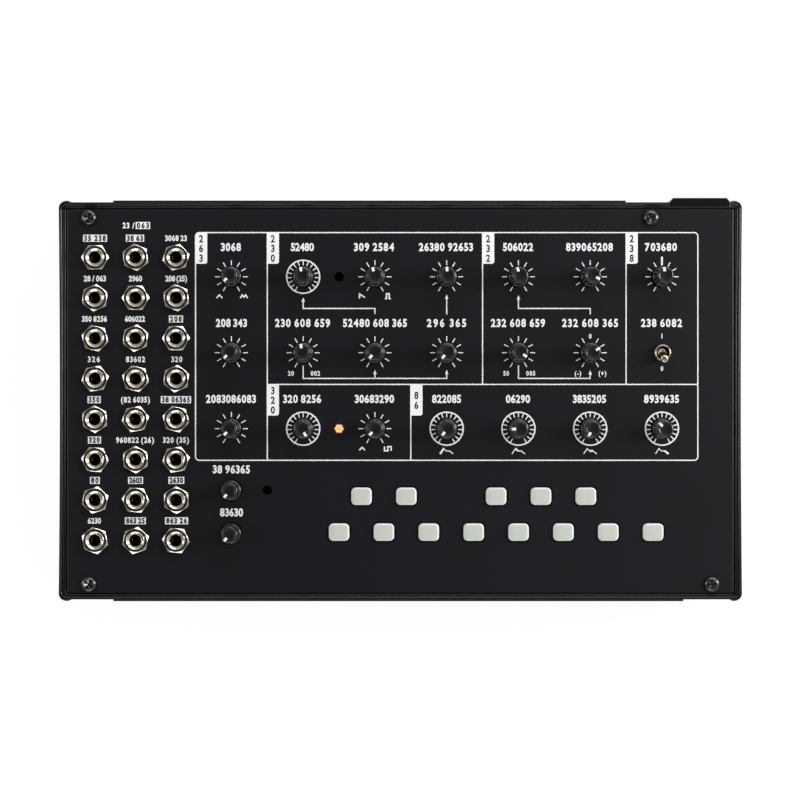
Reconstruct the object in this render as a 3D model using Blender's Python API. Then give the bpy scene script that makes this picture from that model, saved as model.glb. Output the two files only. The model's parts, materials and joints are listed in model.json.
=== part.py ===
"""A compact analog synthesizer: a 3U front panel in a moulded tray, with a patch bay, knobs and small keys.

Metres, +Z up. The player sits at -Y and the power inlet is at the back, +Y. The part stands on its four
rubber feet at z = 0, and the origin is under the middle of the whole part. Everything is laid out from the
middle of the panel's top face, where an empty carries all the pieces.
"""

import math

import bmesh
import bpy
from mathutils import Matrix, Vector

MM = 0.001

# Clearances that all pieces share
SEAT_GAP = 0.3 * MM
RUNNING_GAP = 0.35 * MM
OVERRUN = 1.0 * MM
MERGE_DISTANCE = 0.003 * MM

# Layout of the panel, from its left edge to its right edge and from its back edge to its front edge
LEFT_MARGIN = 9.7 * MM
JACK_PITCH = 13.5 * MM
JACKS_TO_KNOBS = 18.4 * MM
KNOB_PITCH = 24.0 * MM
RIGHT_MARGIN = 24.1 * MM
BACK_MARGIN = 16.35 * MM
FRONT_MARGIN = 17.65 * MM
KNOBS_BELOW_FIRST_JACKS = 6.4 * MM
KNOB_ROW_PITCH = 25.4 * MM
LOWER_KNOBS_BELOW_ROWS = 20.6 * MM
LOWER_KNOB_PITCH = 14.4 * MM
KEYS_BELOW_ROWS = 22.6 * MM
KEY_ROW_PITCH = 12.0 * MM
KEY_PITCH = 15.0 * MM
JACK_ROWS = 8
JACK_COLUMNS = 3
KNOB_COLUMNS = 7
KNOB_ROWS = 3
NATURAL_KEYS = 8
SHARP_KEY_STEPS = (0, 1, 3, 4, 5)

# Front panel
PANEL_THICKNESS = 2.0 * MM
PANEL_CORNER = 0.7 * MM
PANEL_SINK = 0.3 * MM

# Panel screws, at the hole places of a 3U rack panel
SCREW_TO_SIDE = 7.45 * MM
SCREW_TO_EDGE = 3.0 * MM
SCREW_STEP = 20.32 * MM
SCREW_HEAD_RADIUS = 2.6 * MM
SCREW_HEAD_HEIGHT = 1.6 * MM
SCREW_CROWN = 0.7 * MM
SCREW_SHANK_RADIUS = 1.45 * MM
SCREW_LENGTH = 8.0 * MM
SCREW_CROSS_LENGTH = 2.6 * MM
SCREW_CROSS_WIDTH = 0.65 * MM
SCREW_CROSS_DEPTH = 0.8 * MM
SCREW_TURNS = (25, 70, 10, 50)

# Tray
TRAY_HEIGHT = 37.5 * MM
TRAY_FLOOR = 2.5 * MM
PANEL_GAP = 0.4 * MM
WALL = 1.8 * MM
SIDE_WALL = 1.95 * MM
SIDE_BOW = 0.43 * MM
LEDGE = 1.2 * MM
CORNER_RADIUS = 2.65 * MM
CORNER_PROUD = 0.6 * MM
CORNER_DROP = 1.0 * MM
BAND_PROUD = 0.7 * MM
BAND_DROP = 2.0 * MM
BAND_LEFT_INSET = 18.0 * MM
BACK_BAND_RIGHT_INSET = 39.1 * MM
FRONT_BAND_RIGHT_INSET = 19.1 * MM
SCREW_POST_WIDTH = 8.0 * MM
SCREW_POST_REACH = 3.6 * MM

# Power inlet and the boss around it
INLET_TO_SIDE = 11.4 * MM
BOSS_WIDTH = 18.0 * MM
BOSS_PROUD = 1.45 * MM
BOSS_CHAMFER = 1.2 * MM
INLET_MOUTH_RADIUS = 4.6 * MM
INLET_BODY_WIDTH = 9.0 * MM
INLET_BODY_HEIGHT = 11.0 * MM
INLET_BODY_DEPTH = 14.0 * MM
INLET_BORE_RADIUS = 3.1 * MM
INLET_BORE_DEPTH = 9.5 * MM
INLET_PIN_RADIUS = 1.05 * MM
INLET_PIN_RECESS = 0.7 * MM

# Rubber feet
FOOT_RADIUS = 6.0 * MM
FOOT_HEIGHT = 2.2 * MM
FOOT_EDGE = 0.5 * MM
FOOT_INSET = 14.0 * MM

# Control board
BOARD_SPACING = 10.0 * MM
BOARD_THICKNESS = 1.6 * MM
BOARD_SIDE_INSET = 3.6 * MM
BOARD_EDGE_INSET = 8.2 * MM
POT_WIDTH = 9.7 * MM
POT_DEPTH = 11.0 * MM
POT_HEIGHT = 6.5 * MM
POT_BORE_RADIUS = 2.05 * MM
POT_BORE_DEPTH = 4.0 * MM
SWITCH_SIZE = 6.2 * MM
SWITCH_HEIGHT = 4.5 * MM
SWITCH_BORE_DEPTH = 3.0 * MM
TRIMMER_SIZE = 6.8 * MM
TRIMMER_HEIGHT = 4.6 * MM
TRIMMER_BORE_DEPTH = 2.2 * MM
CHIP_LENGTH = 19.0 * MM
CHIP_WIDTH = 7.6 * MM
CHIP_HEIGHT = 3.6 * MM
CHIP_PITCH = 34.0 * MM
CHIP_ROW_PITCH = 30.0 * MM
CHIP_COLUMNS = 5
CHIP_ROWS = 3
CAPACITOR_RADIUS = 4.0 * MM
CAPACITOR_HEIGHT = 11.0 * MM
CAPACITOR_PITCH = 11.0 * MM
CAPACITORS = 3

# Jacks
JACK_BODY_WIDTH = 9.0 * MM
JACK_BODY_DEPTH = 10.5 * MM
JACK_BAR_DEPTH = 3.0 * MM
JACK_BAR_HEIGHT = 1.2 * MM
JACK_BUSHING_RADIUS = 3.05 * MM
JACK_BUSHING_PROUD = 3.1 * MM
JACK_BORE_RADIUS = 1.8 * MM
JACK_BORE_DEPTH = 12.5 * MM
NUT_ACROSS_FLATS = 8.0 * MM
NUT_HEIGHT = 2.0 * MM
NUT_TURN_STEP = 37.0
NUT_ROW_TURN_STEP = 23.0

# Knobs, each with the shaft that turns in its potentiometer
KNOB_RADIUS = 3.35 * MM
KNOB_TOP_RADIUS = 2.7 * MM
KNOB_HEIGHT = 12.0 * MM
KNOB_SKIRT_HEIGHT = 2.6 * MM
KNOB_EDGE = 0.4 * MM
KNOB_SHOULDER_GAP = 0.6 * MM
KNOB_SHAFT_RADIUS = 1.5 * MM
KNOB_SHAFT_LENGTH = 3.6 * MM
POINTER_WIDTH = 0.9 * MM
POINTER_DEPTH = 0.35 * MM
POINTER_DROP = 3.2 * MM

# Keys
KEY_WIDTH = 7.1 * MM
KEY_DEPTH = 6.05 * MM
KEY_CORNER = 1.15 * MM
KEY_PROUD = 1.5 * MM
KEY_EDGE = 0.5 * MM
KEY_FLANGE = 0.9 * MM
KEY_FLANGE_HEIGHT = 1.0 * MM
KEY_STEM_RADIUS = 1.4 * MM
KEY_STEM_ENGAGEMENT = 1.4 * MM

# Toggle switch
TOGGLE_BUSHING_RADIUS = 2.7 * MM
TOGGLE_BUSHING_WALL = 0.5 * MM
TOGGLE_BUSHING_PROUD = 3.4 * MM
TOGGLE_BODY_WIDTH = 8.0 * MM
TOGGLE_BODY_DEPTH = 11.0 * MM
TOGGLE_BODY_HEIGHT = 8.0 * MM
TOGGLE_PIVOT_DROP = 0.6 * MM
TOGGLE_BORE_BELOW_PIVOT = 4.0 * MM
LEVER_RADIUS = 1.0 * MM
LEVER_TIP_RADIUS = 1.35 * MM
LEVER_LENGTH = 10.6 * MM
LEVER_TAIL = 2.4 * MM
LEVER_EDGE = 0.5 * MM
LEVER_TILT = 12.5

# Lamp and trimmers
LED_RADIUS = 1.5 * MM
LED_PROUD = 1.0 * MM
LED_BODY_LENGTH = 4.6 * MM
LED_FLANGE = 0.4 * MM
LED_FLANGE_HEIGHT = 0.8 * MM
LED_LEG = 0.5 * MM
LED_LEG_PITCH = 2.0 * MM
TRIMMER_HOLE_RADIUS = 1.6 * MM
ROTOR_RADIUS = 1.5 * MM
ROTOR_HEIGHT = 2.4 * MM
ROTOR_PROUD = 0.6 * MM
ROTOR_SLOT_WIDTH = 0.5 * MM
ROTOR_SLOT_DEPTH = 0.6 * MM

# Pointer of each knob, in degrees clockwise from the back edge, by row and column
POINTERS = (
    (-140, -10, -15, -3, -20, 120, -10),
    (-140, -8, -140, -140, 125, 60),
    (-140, 150, -140, -140, -90, -150, -45),
)
LOWER_POINTERS = (-140, -140)

# Facets of round shapes
KNOB_SIDES = 14
FOOT_SIDES = 14
INLET_SIDES = 14
NUT_SIDES = 6
ROUND_SIDES = 12
JACK_SIDES = 10
SHAFT_SIDES = 8
POST_SIDES = 20
CORNER_STEPS = 2
BOW_STEPS = 4
ARC_STEPS = 4
DOME_STEPS = 3
SHARP_ANGLE = 30

# Sizes that follow from the ones above
panel_width = LEFT_MARGIN + (JACK_COLUMNS - 1) * JACK_PITCH + JACKS_TO_KNOBS \
    + (KNOB_COLUMNS - 1) * KNOB_PITCH + RIGHT_MARGIN
panel_depth = BACK_MARGIN + (JACK_ROWS - 1) * JACK_PITCH + FRONT_MARGIN
left = -panel_width / 2
back = panel_depth / 2
jack_xs = [left + LEFT_MARGIN + k * JACK_PITCH for k in range(JACK_COLUMNS)]
jack_ys = [back - BACK_MARGIN - k * JACK_PITCH for k in range(JACK_ROWS)]
knob_xs = [jack_xs[-1] + JACKS_TO_KNOBS + k * KNOB_PITCH for k in range(KNOB_COLUMNS)]
knob_ys = [jack_ys[0] - KNOBS_BELOW_FIRST_JACKS - k * KNOB_ROW_PITCH for k in range(KNOB_ROWS)]
lower_knob_ys = [knob_ys[-1] - LOWER_KNOBS_BELOW_ROWS - k * LOWER_KNOB_PITCH for k in range(2)]
sharp_key_y = knob_ys[-1] - KEYS_BELOW_ROWS
natural_key_y = sharp_key_y - KEY_ROW_PITCH
first_gap_x = (knob_xs[0] + knob_xs[1]) / 2
second_gap_x = (knob_xs[1] + knob_xs[2]) / 2
knob_places = [(f"knob_r{r + 1}_c{c + 1}", knob_xs[c], knob_ys[r], POINTERS[r][c])
               for r in range(KNOB_ROWS) for c in range(len(POINTERS[r]))]
knob_places += [(f"knob_lower_{k + 1}", knob_xs[0], y, pointer)
                for k, (y, pointer) in enumerate(zip(lower_knob_ys, LOWER_POINTERS))]
key_places = [(f"key_natural_{k + 1}", second_gap_x + k * KEY_PITCH, natural_key_y)
              for k in range(NATURAL_KEYS)]
key_places += [(f"key_sharp_{k + 1}", second_gap_x + (step + 0.5) * KEY_PITCH, sharp_key_y)
               for k, step in enumerate(SHARP_KEY_STEPS)]
toggle_place = (knob_xs[-1], knob_ys[1])
led_place = (second_gap_x, knob_ys[-1])
trimmer_places = [(second_gap_x, knob_ys[0]), (first_gap_x, lower_knob_ys[0])]
screw_x = panel_width / 2 - SCREW_TO_SIDE
screw_y = panel_depth / 2 - SCREW_TO_EDGE
screw_places = [("panel_screw_back_left", -screw_x, screw_y),
                ("panel_screw_back_right", screw_x - SCREW_STEP, screw_y),
                ("panel_screw_front_left", -screw_x, -screw_y),
                ("panel_screw_front_right", screw_x, -screw_y)]

# Heights, counted from the panel's top face
panel_bottom = -PANEL_THICKNESS
rim_top = PANEL_SINK
tray_bottom = rim_top - TRAY_HEIGHT
ledge_top = panel_bottom - SEAT_GAP
board_top = panel_bottom - BOARD_SPACING
board_bottom = board_top - BOARD_THICKNESS
stand_height = -tray_bottom + SEAT_GAP + FOOT_HEIGHT
pocket_x = panel_width / 2 + PANEL_GAP
pocket_y = panel_depth / 2 + PANEL_GAP
wall_y = pocket_y + WALL
side_x = pocket_x + SIDE_WALL
side_reach = side_x + SIDE_BOW
corner_x = side_reach - CORNER_RADIUS
corner_y = wall_y + CORNER_PROUD - CORNER_RADIUS
inner_y = pocket_y - LEDGE
boss_x = panel_width / 2 - INLET_TO_SIDE
inlet_face_y = inner_y - SEAT_GAP
inlet_z = board_bottom - SEAT_GAP - INLET_BODY_HEIGHT / 2
front_reach = wall_y + max(CORNER_PROUD, BAND_PROUD)
back_reach = wall_y + BOSS_PROUD
knob_hole_radius = (KNOB_RADIUS + RUNNING_GAP) / math.cos(math.pi / ROUND_SIDES)


def new_shape():
    return bmesh.new()


def add_box(shape, xs, ys, zs):
    """A box between the two ends that each pair gives."""
    low, high = Vector((xs[0], ys[0], zs[0])), Vector((xs[1], ys[1], zs[1]))
    place = Matrix.Translation((low + high) / 2) @ Matrix.Diagonal((*(high - low), 1.0))
    bmesh.ops.create_cube(shape, size=1.0, matrix=place)


def add_cylinder(shape, x, y, zs, radius, sides, turn=0.0):
    """An upright cylinder, or with few sides a prism, whose first corner points at turn, in degrees."""
    place = Matrix.Translation((x, y, (zs[0] + zs[1]) / 2)) @ Matrix.Rotation(math.radians(turn), 4, "Z")
    bmesh.ops.create_cone(shape, cap_ends=True, segments=sides, radius1=radius, radius2=radius,
                          depth=zs[1] - zs[0], matrix=place)


def add_rod(shape, x, ys, z, radius, sides):
    """A cylinder that lies along Y."""
    place = Matrix.Translation((x, (ys[0] + ys[1]) / 2, z)) @ Matrix.Rotation(math.radians(-90), 4, "X")
    bmesh.ops.create_cone(shape, cap_ends=True, segments=sides, radius1=radius, radius2=radius,
                          depth=ys[1] - ys[0], matrix=place)


def add_prism(shape, outline, zs):
    """An upright solid with the given outline."""
    face = shape.faces.new([shape.verts.new((x, y, zs[0])) for x, y in outline])
    raised = bmesh.ops.extrude_face_region(shape, geom=[face], use_keep_orig=True)["geom"]
    bmesh.ops.translate(shape, verts=[v for v in raised if isinstance(v, bmesh.types.BMVert)],
                        vec=(0, 0, zs[1] - zs[0]))
    bmesh.ops.recalc_face_normals(shape, faces=shape.faces[:])


def add_turned(shape, profile, sides):
    """A solid of revolution about Z, from radius and height pairs that start and end on the axis."""
    points = [shape.verts.new((radius, 0, height)) for radius, height in profile]
    edges = [shape.edges.new(pair) for pair in zip(points, points[1:])]
    bmesh.ops.spin(shape, geom=points + edges, axis=(0, 0, 1), cent=(0, 0, 0), steps=sides, angle=math.tau)
    bmesh.ops.remove_doubles(shape, verts=shape.verts[:], dist=MERGE_DISTANCE)
    bmesh.ops.recalc_face_normals(shape, faces=shape.faces[:])


def round_rectangle(x, y, width, depth, radius, steps):
    points = []
    for quarter, (right, far) in enumerate(((1, 1), (-1, 1), (-1, -1), (1, -1))):
        for k in range(steps + 1):
            angle = math.tau / 4 * (quarter + k / steps)
            points.append((x + right * (width / 2 - radius) + radius * math.cos(angle),
                           y + far * (depth / 2 - radius) + radius * math.sin(angle)))
    return points


def to_linear(hexcode):
    """Linear colour of an sRGB hex code."""
    values = [int(hexcode[k:k + 2], 16) / 255 for k in (0, 2, 4)]
    return [v / 12.92 if v <= 0.04045 else ((v + 0.055) / 1.055) ** 2.4 for v in values] + [1.0]


def material(name, hexcode, roughness, metallic=0.0):
    made = bpy.data.materials.get(name)
    if made is None:
        made = bpy.data.materials.new(name)
        made.use_nodes = True
        surface = made.node_tree.nodes["Principled BSDF"]
        surface.inputs["Base Color"].default_value = to_linear(hexcode)
        surface.inputs["Roughness"].default_value = roughness
        surface.inputs["Metallic"].default_value = metallic
    return made


def painted_aluminium():
    return material("painted_aluminium", "24262A", 0.55)


def moulded_abs():
    return material("moulded_abs", "17181A", 0.5)


def knob_plastic():
    return material("knob_plastic", "141416", 0.4)


def key_rubber():
    return material("key_rubber", "C3C9C0", 0.6)


def nickel():
    return material("nickel", "A8A49C", 0.3, 1.0)


def blackened_steel():
    return material("blackened_steel", "2A2A2C", 0.35, 1.0)


def foot_rubber():
    return material("foot_rubber", "1B1B1B", 0.9)


def board_laminate():
    return material("board_laminate", "1E3B2A", 0.5)


def lamp_resin():
    return material("lamp_resin", "F08A24", 0.2)


def trimmer_plastic():
    return material("trimmer_plastic", "D9D4C4", 0.5)


def make_object(name, shape, finish, place=(0, 0, 0), tilt=(0, 0, 0)):
    """A named object on the panel's empty, from a shape that this call uses up."""
    mesh = bpy.data.meshes.new(name)
    shape.to_mesh(mesh)
    shape.free()
    return place_mesh(name, mesh, finish, place, tilt)


def place_mesh(name, mesh, finish, place=(0, 0, 0), tilt=(0, 0, 0)):
    piece = bpy.data.objects.new(name, mesh)
    bpy.context.scene.collection.objects.link(piece)
    piece.parent = bpy.data.objects["panel_origin"]
    piece.location = place
    piece.rotation_euler = tilt
    if not mesh.materials:
        mesh.materials.append(finish)
    mesh.shade_smooth()
    mesh.set_sharp_from_angle(angle=math.radians(SHARP_ANGLE))
    return piece


def shape_by_steps(base, steps):
    """The mesh left after each (operation, shape) step has been joined to or cut from the base shape."""
    body = make_object("work_body", base, None)
    for operation, shape in steps:
        tool = make_object("work_tool", shape, None)
        cut = body.modifiers.new("step", "BOOLEAN")
        cut.operation, cut.solver, cut.object = operation, "EXACT", tool
        done = bpy.data.meshes.new_from_object(body.evaluated_get(bpy.context.evaluated_depsgraph_get()))
        body.modifiers.clear()
        body.data = done
        bpy.data.objects.remove(tool)
    mesh = body.data
    mesh.materials.clear()
    bpy.data.objects.remove(body)
    return mesh


def make_front_panel():
    plate = new_shape()
    outline = round_rectangle(0, 0, panel_width, panel_depth, PANEL_CORNER, CORNER_STEPS)
    add_prism(plate, outline, (panel_bottom, 0))
    holes = new_shape()
    through = (panel_bottom - OVERRUN, OVERRUN)
    for x in jack_xs:
        for y in jack_ys:
            add_cylinder(holes, x, y, through, JACK_BUSHING_RADIUS + SEAT_GAP, JACK_SIDES)
    for _, x, y, _ in knob_places:
        add_cylinder(holes, x, y, through, knob_hole_radius, ROUND_SIDES)
    for _, x, y in key_places:
        window = round_rectangle(x, y, KEY_WIDTH + 2 * RUNNING_GAP, KEY_DEPTH + 2 * RUNNING_GAP, KEY_CORNER,
                                 CORNER_STEPS)
        add_prism(holes, window, through)
    for x, y in trimmer_places:
        add_cylinder(holes, x, y, through, TRIMMER_HOLE_RADIUS, ROUND_SIDES)
    for _, x, y in screw_places:
        add_cylinder(holes, x, y, through, SCREW_SHANK_RADIUS + SEAT_GAP, ROUND_SIDES)
    add_cylinder(holes, *led_place, through, LED_RADIUS + SEAT_GAP, ROUND_SIDES)
    add_cylinder(holes, *toggle_place, through, TOGGLE_BUSHING_RADIUS + SEAT_GAP, ROUND_SIDES)
    place_mesh("front_panel", shape_by_steps(plate, [("DIFFERENCE", holes)]), painted_aluminium())


def tray_outline():
    """The tray from above: bowed sides, straight front and back, and round corners that stop at the walls."""
    corner_end = math.asin((wall_y - corner_y) / CORNER_RADIUS)
    quarter = []
    for k in range(BOW_STEPS + 1):
        share = k / BOW_STEPS
        quarter.append((side_x + SIDE_BOW * share ** 2, corner_y * share))
    for k in range(1, ARC_STEPS + 1):
        angle = corner_end * k / ARC_STEPS
        quarter.append((corner_x + CORNER_RADIUS * math.cos(angle),
                        corner_y + CORNER_RADIUS * math.sin(angle)))
    points = quarter + [(-x, y) for x, y in reversed(quarter)]
    return points + [(-x, -y) for x, y in points if abs(y) > 0]


def make_case_tray():
    body = new_shape()
    add_prism(body, tray_outline(), (tray_bottom, rim_top))
    posts = new_shape()
    post_zs = (tray_bottom + CORNER_DROP, rim_top - CORNER_DROP)
    for x in (-corner_x, corner_x):
        for y in (-corner_y, corner_y):
            add_cylinder(posts, x, y, post_zs, CORNER_RADIUS, POST_SIDES)
    band_left = -side_x + BAND_LEFT_INSET
    band_zs = (tray_bottom + BAND_DROP, rim_top - BAND_DROP)
    bands = new_shape()
    for far, right_inset in ((1, BACK_BAND_RIGHT_INSET), (-1, FRONT_BAND_RIGHT_INSET)):
        band_ys = sorted((far * (inner_y + WALL), far * (wall_y + BAND_PROUD)))
        add_box(bands, (band_left, side_x - right_inset), band_ys, band_zs)
    boss = new_shape()
    half = BOSS_WIDTH / 2
    foot = half + BOSS_CHAMFER
    add_prism(boss, ((boss_x - foot, inner_y + WALL), (boss_x + foot, inner_y + WALL),
                     (boss_x + foot, wall_y), (boss_x + half, back_reach), (boss_x - half, back_reach),
                     (boss_x - foot, wall_y)), (tray_bottom, rim_top))
    corner = PANEL_CORNER + PANEL_GAP
    pocket = new_shape()
    add_prism(pocket, round_rectangle(0, 0, 2 * pocket_x, 2 * pocket_y, corner, CORNER_STEPS),
              (ledge_top, rim_top + OVERRUN))
    hollow = new_shape()
    add_prism(hollow, round_rectangle(0, 0, 2 * (pocket_x - LEDGE), 2 * inner_y, corner, CORNER_STEPS),
              (tray_bottom + TRAY_FLOOR, ledge_top + OVERRUN))
    screw_posts = new_shape()
    screw_holes = new_shape()
    for _, x, y in screw_places:
        wall_side = math.copysign(inner_y + LEDGE / 2, y)
        inner_side = y - math.copysign(SCREW_POST_REACH, y)
        add_box(screw_posts, (x - SCREW_POST_WIDTH / 2, x + SCREW_POST_WIDTH / 2),
                sorted((wall_side, inner_side)), (tray_bottom + TRAY_FLOOR / 2, ledge_top))
        add_cylinder(screw_holes, x, y, (-SCREW_LENGTH - OVERRUN, rim_top + OVERRUN),
                     SCREW_SHANK_RADIUS + SEAT_GAP, ROUND_SIDES)
    mouth = new_shape()
    add_rod(mouth, boss_x, (inner_y - OVERRUN, back_reach + OVERRUN), inlet_z, INLET_MOUTH_RADIUS,
            INLET_SIDES)
    steps = [("UNION", posts), ("UNION", bands), ("UNION", boss), ("DIFFERENCE", pocket),
             ("DIFFERENCE", hollow), ("UNION", screw_posts), ("DIFFERENCE", screw_holes),
             ("DIFFERENCE", mouth)]
    place_mesh("case_tray", shape_by_steps(body, steps), moulded_abs())


def make_panel_screws():
    seat = SEAT_GAP
    top = seat + SCREW_HEAD_HEIGHT
    long, wide = SCREW_CROSS_LENGTH / 2, SCREW_CROSS_WIDTH / 2
    for (name, x, y), turn in zip(screw_places, SCREW_TURNS):
        screw = new_shape()
        add_turned(screw, ((0, -SCREW_LENGTH), (SCREW_SHANK_RADIUS, -SCREW_LENGTH),
                           (SCREW_SHANK_RADIUS, seat), (SCREW_HEAD_RADIUS, seat),
                           (SCREW_HEAD_RADIUS, top - SCREW_CROWN),
                           (SCREW_HEAD_RADIUS - SCREW_CROWN, top), (0, top)), ROUND_SIDES)
        cross = new_shape()
        add_prism(cross, ((long, -wide), (long, wide), (wide, wide), (wide, long), (-wide, long),
                          (-wide, wide), (-long, wide), (-long, -wide), (-wide, -wide), (-wide, -long),
                          (wide, -long), (wide, -wide)), (top - SCREW_CROSS_DEPTH, top + OVERRUN))
        place_mesh(name, shape_by_steps(screw, [("DIFFERENCE", cross)]), blackened_steel(), (x, y, 0),
                   (0, 0, math.radians(turn)))


def make_feet():
    for name, right, far in (("foot_back_left", -1, 1), ("foot_back_right", 1, 1),
                             ("foot_front_left", -1, -1), ("foot_front_right", 1, -1)):
        foot = new_shape()
        add_turned(foot, ((0, 0), (FOOT_RADIUS - FOOT_EDGE, 0), (FOOT_RADIUS, FOOT_EDGE),
                          (FOOT_RADIUS, FOOT_HEIGHT), (0, FOOT_HEIGHT)), FOOT_SIDES)
        make_object(name, foot, foot_rubber(),
                    (right * (side_x - FOOT_INSET), far * (wall_y - FOOT_INSET), -stand_height))


def add_housing(shape, x, y, width, depth, zs):
    """A box housing round the place x, y."""
    add_box(shape, (x - width / 2, x + width / 2), (y - depth / 2, y + depth / 2), zs)


def make_control_board():
    """The circuit board and what is soldered to it: potentiometers, switches, trimmers, chips, capacitors."""
    board = new_shape()
    half_x = pocket_x - LEDGE - BOARD_SIDE_INSET
    half_y = inner_y - BOARD_EDGE_INSET
    add_box(board, (-half_x, half_x), (-half_y, half_y), (board_bottom, board_top))
    rooted_above = (board_bottom + board_top) / 2
    rooted_below = rooted_above - BOARD_THICKNESS / 4
    pot_top = board_top + POT_HEIGHT
    switch_top = board_top + SWITCH_HEIGHT
    trimmer_top = board_top + TRIMMER_HEIGHT
    housings = new_shape()
    bores = new_shape()
    for _, x, y, _ in knob_places:
        add_housing(housings, x, y, POT_WIDTH, POT_DEPTH, (rooted_above, pot_top))
        add_cylinder(bores, x, y, (pot_top - POT_BORE_DEPTH, pot_top + OVERRUN), POT_BORE_RADIUS, SHAFT_SIDES)
    for _, x, y in key_places:
        add_housing(housings, x, y, SWITCH_SIZE, SWITCH_SIZE, (rooted_above, switch_top))
        add_cylinder(bores, x, y, (switch_top - SWITCH_BORE_DEPTH, switch_top + OVERRUN),
                     KEY_STEM_RADIUS + 2 * RUNNING_GAP, SHAFT_SIDES)
    for x, y in trimmer_places:
        add_housing(housings, x, y, TRIMMER_SIZE, TRIMMER_SIZE, (rooted_above, trimmer_top))
        add_cylinder(bores, x, y, (trimmer_top - TRIMMER_BORE_DEPTH, trimmer_top + OVERRUN),
                     ROTOR_RADIUS + RUNNING_GAP, ROUND_SIDES)
    for row in range(CHIP_ROWS):
        for column in range(CHIP_COLUMNS):
            x = (column - (CHIP_COLUMNS - 1) / 2) * CHIP_PITCH
            y = (row - (CHIP_ROWS - 1) / 2) * CHIP_ROW_PITCH
            add_housing(housings, x, y, CHIP_LENGTH, CHIP_WIDTH, (board_bottom - CHIP_HEIGHT, rooted_below))
    for k in range(CAPACITORS):
        x = boss_x - INLET_BODY_WIDTH - CAPACITOR_RADIUS - k * CAPACITOR_PITCH
        add_cylinder(housings, x, half_y - 2 * CAPACITOR_RADIUS,
                     (board_bottom - CAPACITOR_HEIGHT, rooted_below), CAPACITOR_RADIUS, ROUND_SIDES)
    steps = [("UNION", housings), ("DIFFERENCE", bores)]
    place_mesh("control_board", shape_by_steps(board, steps), board_laminate())


def make_jack_rows():
    """Each row holds three sockets, with their nuts, on the bar that joins their ground pins."""
    nut_corner_radius = NUT_ACROSS_FLATS / 2 / math.cos(math.pi / NUT_SIDES)
    for row, y in enumerate(jack_ys):
        floor = board_top + SEAT_GAP
        bar = new_shape()
        add_box(bar, (jack_xs[0], jack_xs[-1]), (y - JACK_BAR_DEPTH / 2, y + JACK_BAR_DEPTH / 2),
                (floor, floor + JACK_BAR_HEIGHT))
        bodies, bushings, nuts, bores = (new_shape() for _ in range(4))
        for column, x in enumerate(jack_xs):
            add_housing(bodies, x, y, JACK_BODY_WIDTH, JACK_BODY_DEPTH, (floor, panel_bottom - SEAT_GAP))
            add_cylinder(bushings, x, y, (panel_bottom - OVERRUN, JACK_BUSHING_PROUD), JACK_BUSHING_RADIUS,
                         JACK_SIDES)
            add_cylinder(nuts, x, y, (SEAT_GAP, SEAT_GAP + NUT_HEIGHT), nut_corner_radius, NUT_SIDES,
                         column * NUT_TURN_STEP + row * NUT_ROW_TURN_STEP)
            add_cylinder(bores, x, y, (JACK_BUSHING_PROUD - JACK_BORE_DEPTH, JACK_BUSHING_PROUD + OVERRUN),
                         JACK_BORE_RADIUS, JACK_SIDES)
        steps = [("UNION", bodies), ("UNION", bushings), ("UNION", nuts), ("DIFFERENCE", bores)]
        place_mesh(f"jack_row_{row + 1}", shape_by_steps(bar, steps), nickel())


def make_knobs():
    """All knobs share one mesh, whose own origin lies on the turning axis, level with the panel."""
    knob = new_shape()
    shoulder = board_top + POT_HEIGHT + KNOB_SHOULDER_GAP
    shaft_end = shoulder - KNOB_SHAFT_LENGTH
    add_turned(knob, ((0, shaft_end), (KNOB_SHAFT_RADIUS, shaft_end), (KNOB_SHAFT_RADIUS, shoulder),
                      (KNOB_RADIUS, shoulder), (KNOB_RADIUS, KNOB_SKIRT_HEIGHT),
                      (KNOB_TOP_RADIUS, KNOB_HEIGHT - KNOB_EDGE), (KNOB_TOP_RADIUS - KNOB_EDGE, KNOB_HEIGHT),
                      (0, KNOB_HEIGHT)), KNOB_SIDES)
    pointer_xs = (-POINTER_WIDTH / 2, POINTER_WIDTH / 2)
    groove = new_shape()
    add_box(groove, pointer_xs, (0, KNOB_RADIUS + OVERRUN),
            (KNOB_HEIGHT - POINTER_DEPTH, KNOB_HEIGHT + OVERRUN))
    flank = new_shape()
    add_box(flank, pointer_xs, (KNOB_TOP_RADIUS - POINTER_DEPTH, KNOB_RADIUS + OVERRUN),
            (KNOB_HEIGHT - POINTER_DROP, KNOB_HEIGHT + OVERRUN))
    mesh = shape_by_steps(knob, [("DIFFERENCE", groove), ("DIFFERENCE", flank)])
    for name, x, y, pointer in knob_places:
        place_mesh(name, mesh, knob_plastic(), (x, y, 0), (0, 0, -math.radians(pointer)))


def make_keys():
    """All keys share one mesh: a cap in its panel opening, a flange below it and a stem to the switch."""
    key = new_shape()
    flange_top = panel_bottom - SEAT_GAP
    flange_middle = flange_top - KEY_FLANGE_HEIGHT / 2
    outline = round_rectangle(0, 0, KEY_WIDTH, KEY_DEPTH, KEY_CORNER, CORNER_STEPS)
    add_prism(key, outline, (flange_middle, KEY_PROUD))
    rim = [e for e in key.edges if all(v.co.z > KEY_PROUD - KEY_EDGE for v in e.verts)]
    bmesh.ops.bevel(key, geom=rim, offset=KEY_EDGE, offset_type="OFFSET", segments=1, affect="EDGES")
    flange = new_shape()
    add_housing(flange, 0, 0, KEY_WIDTH + 2 * KEY_FLANGE, KEY_DEPTH + 2 * KEY_FLANGE,
                (flange_top - KEY_FLANGE_HEIGHT, flange_top))
    stem = new_shape()
    add_cylinder(stem, 0, 0, (board_top + SWITCH_HEIGHT - KEY_STEM_ENGAGEMENT, flange_middle),
                 KEY_STEM_RADIUS, SHAFT_SIDES)
    mesh = shape_by_steps(key, [("UNION", flange), ("UNION", stem)])
    for name, x, y in key_places:
        place_mesh(name, mesh, key_rubber(), (x, y, 0))


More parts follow.
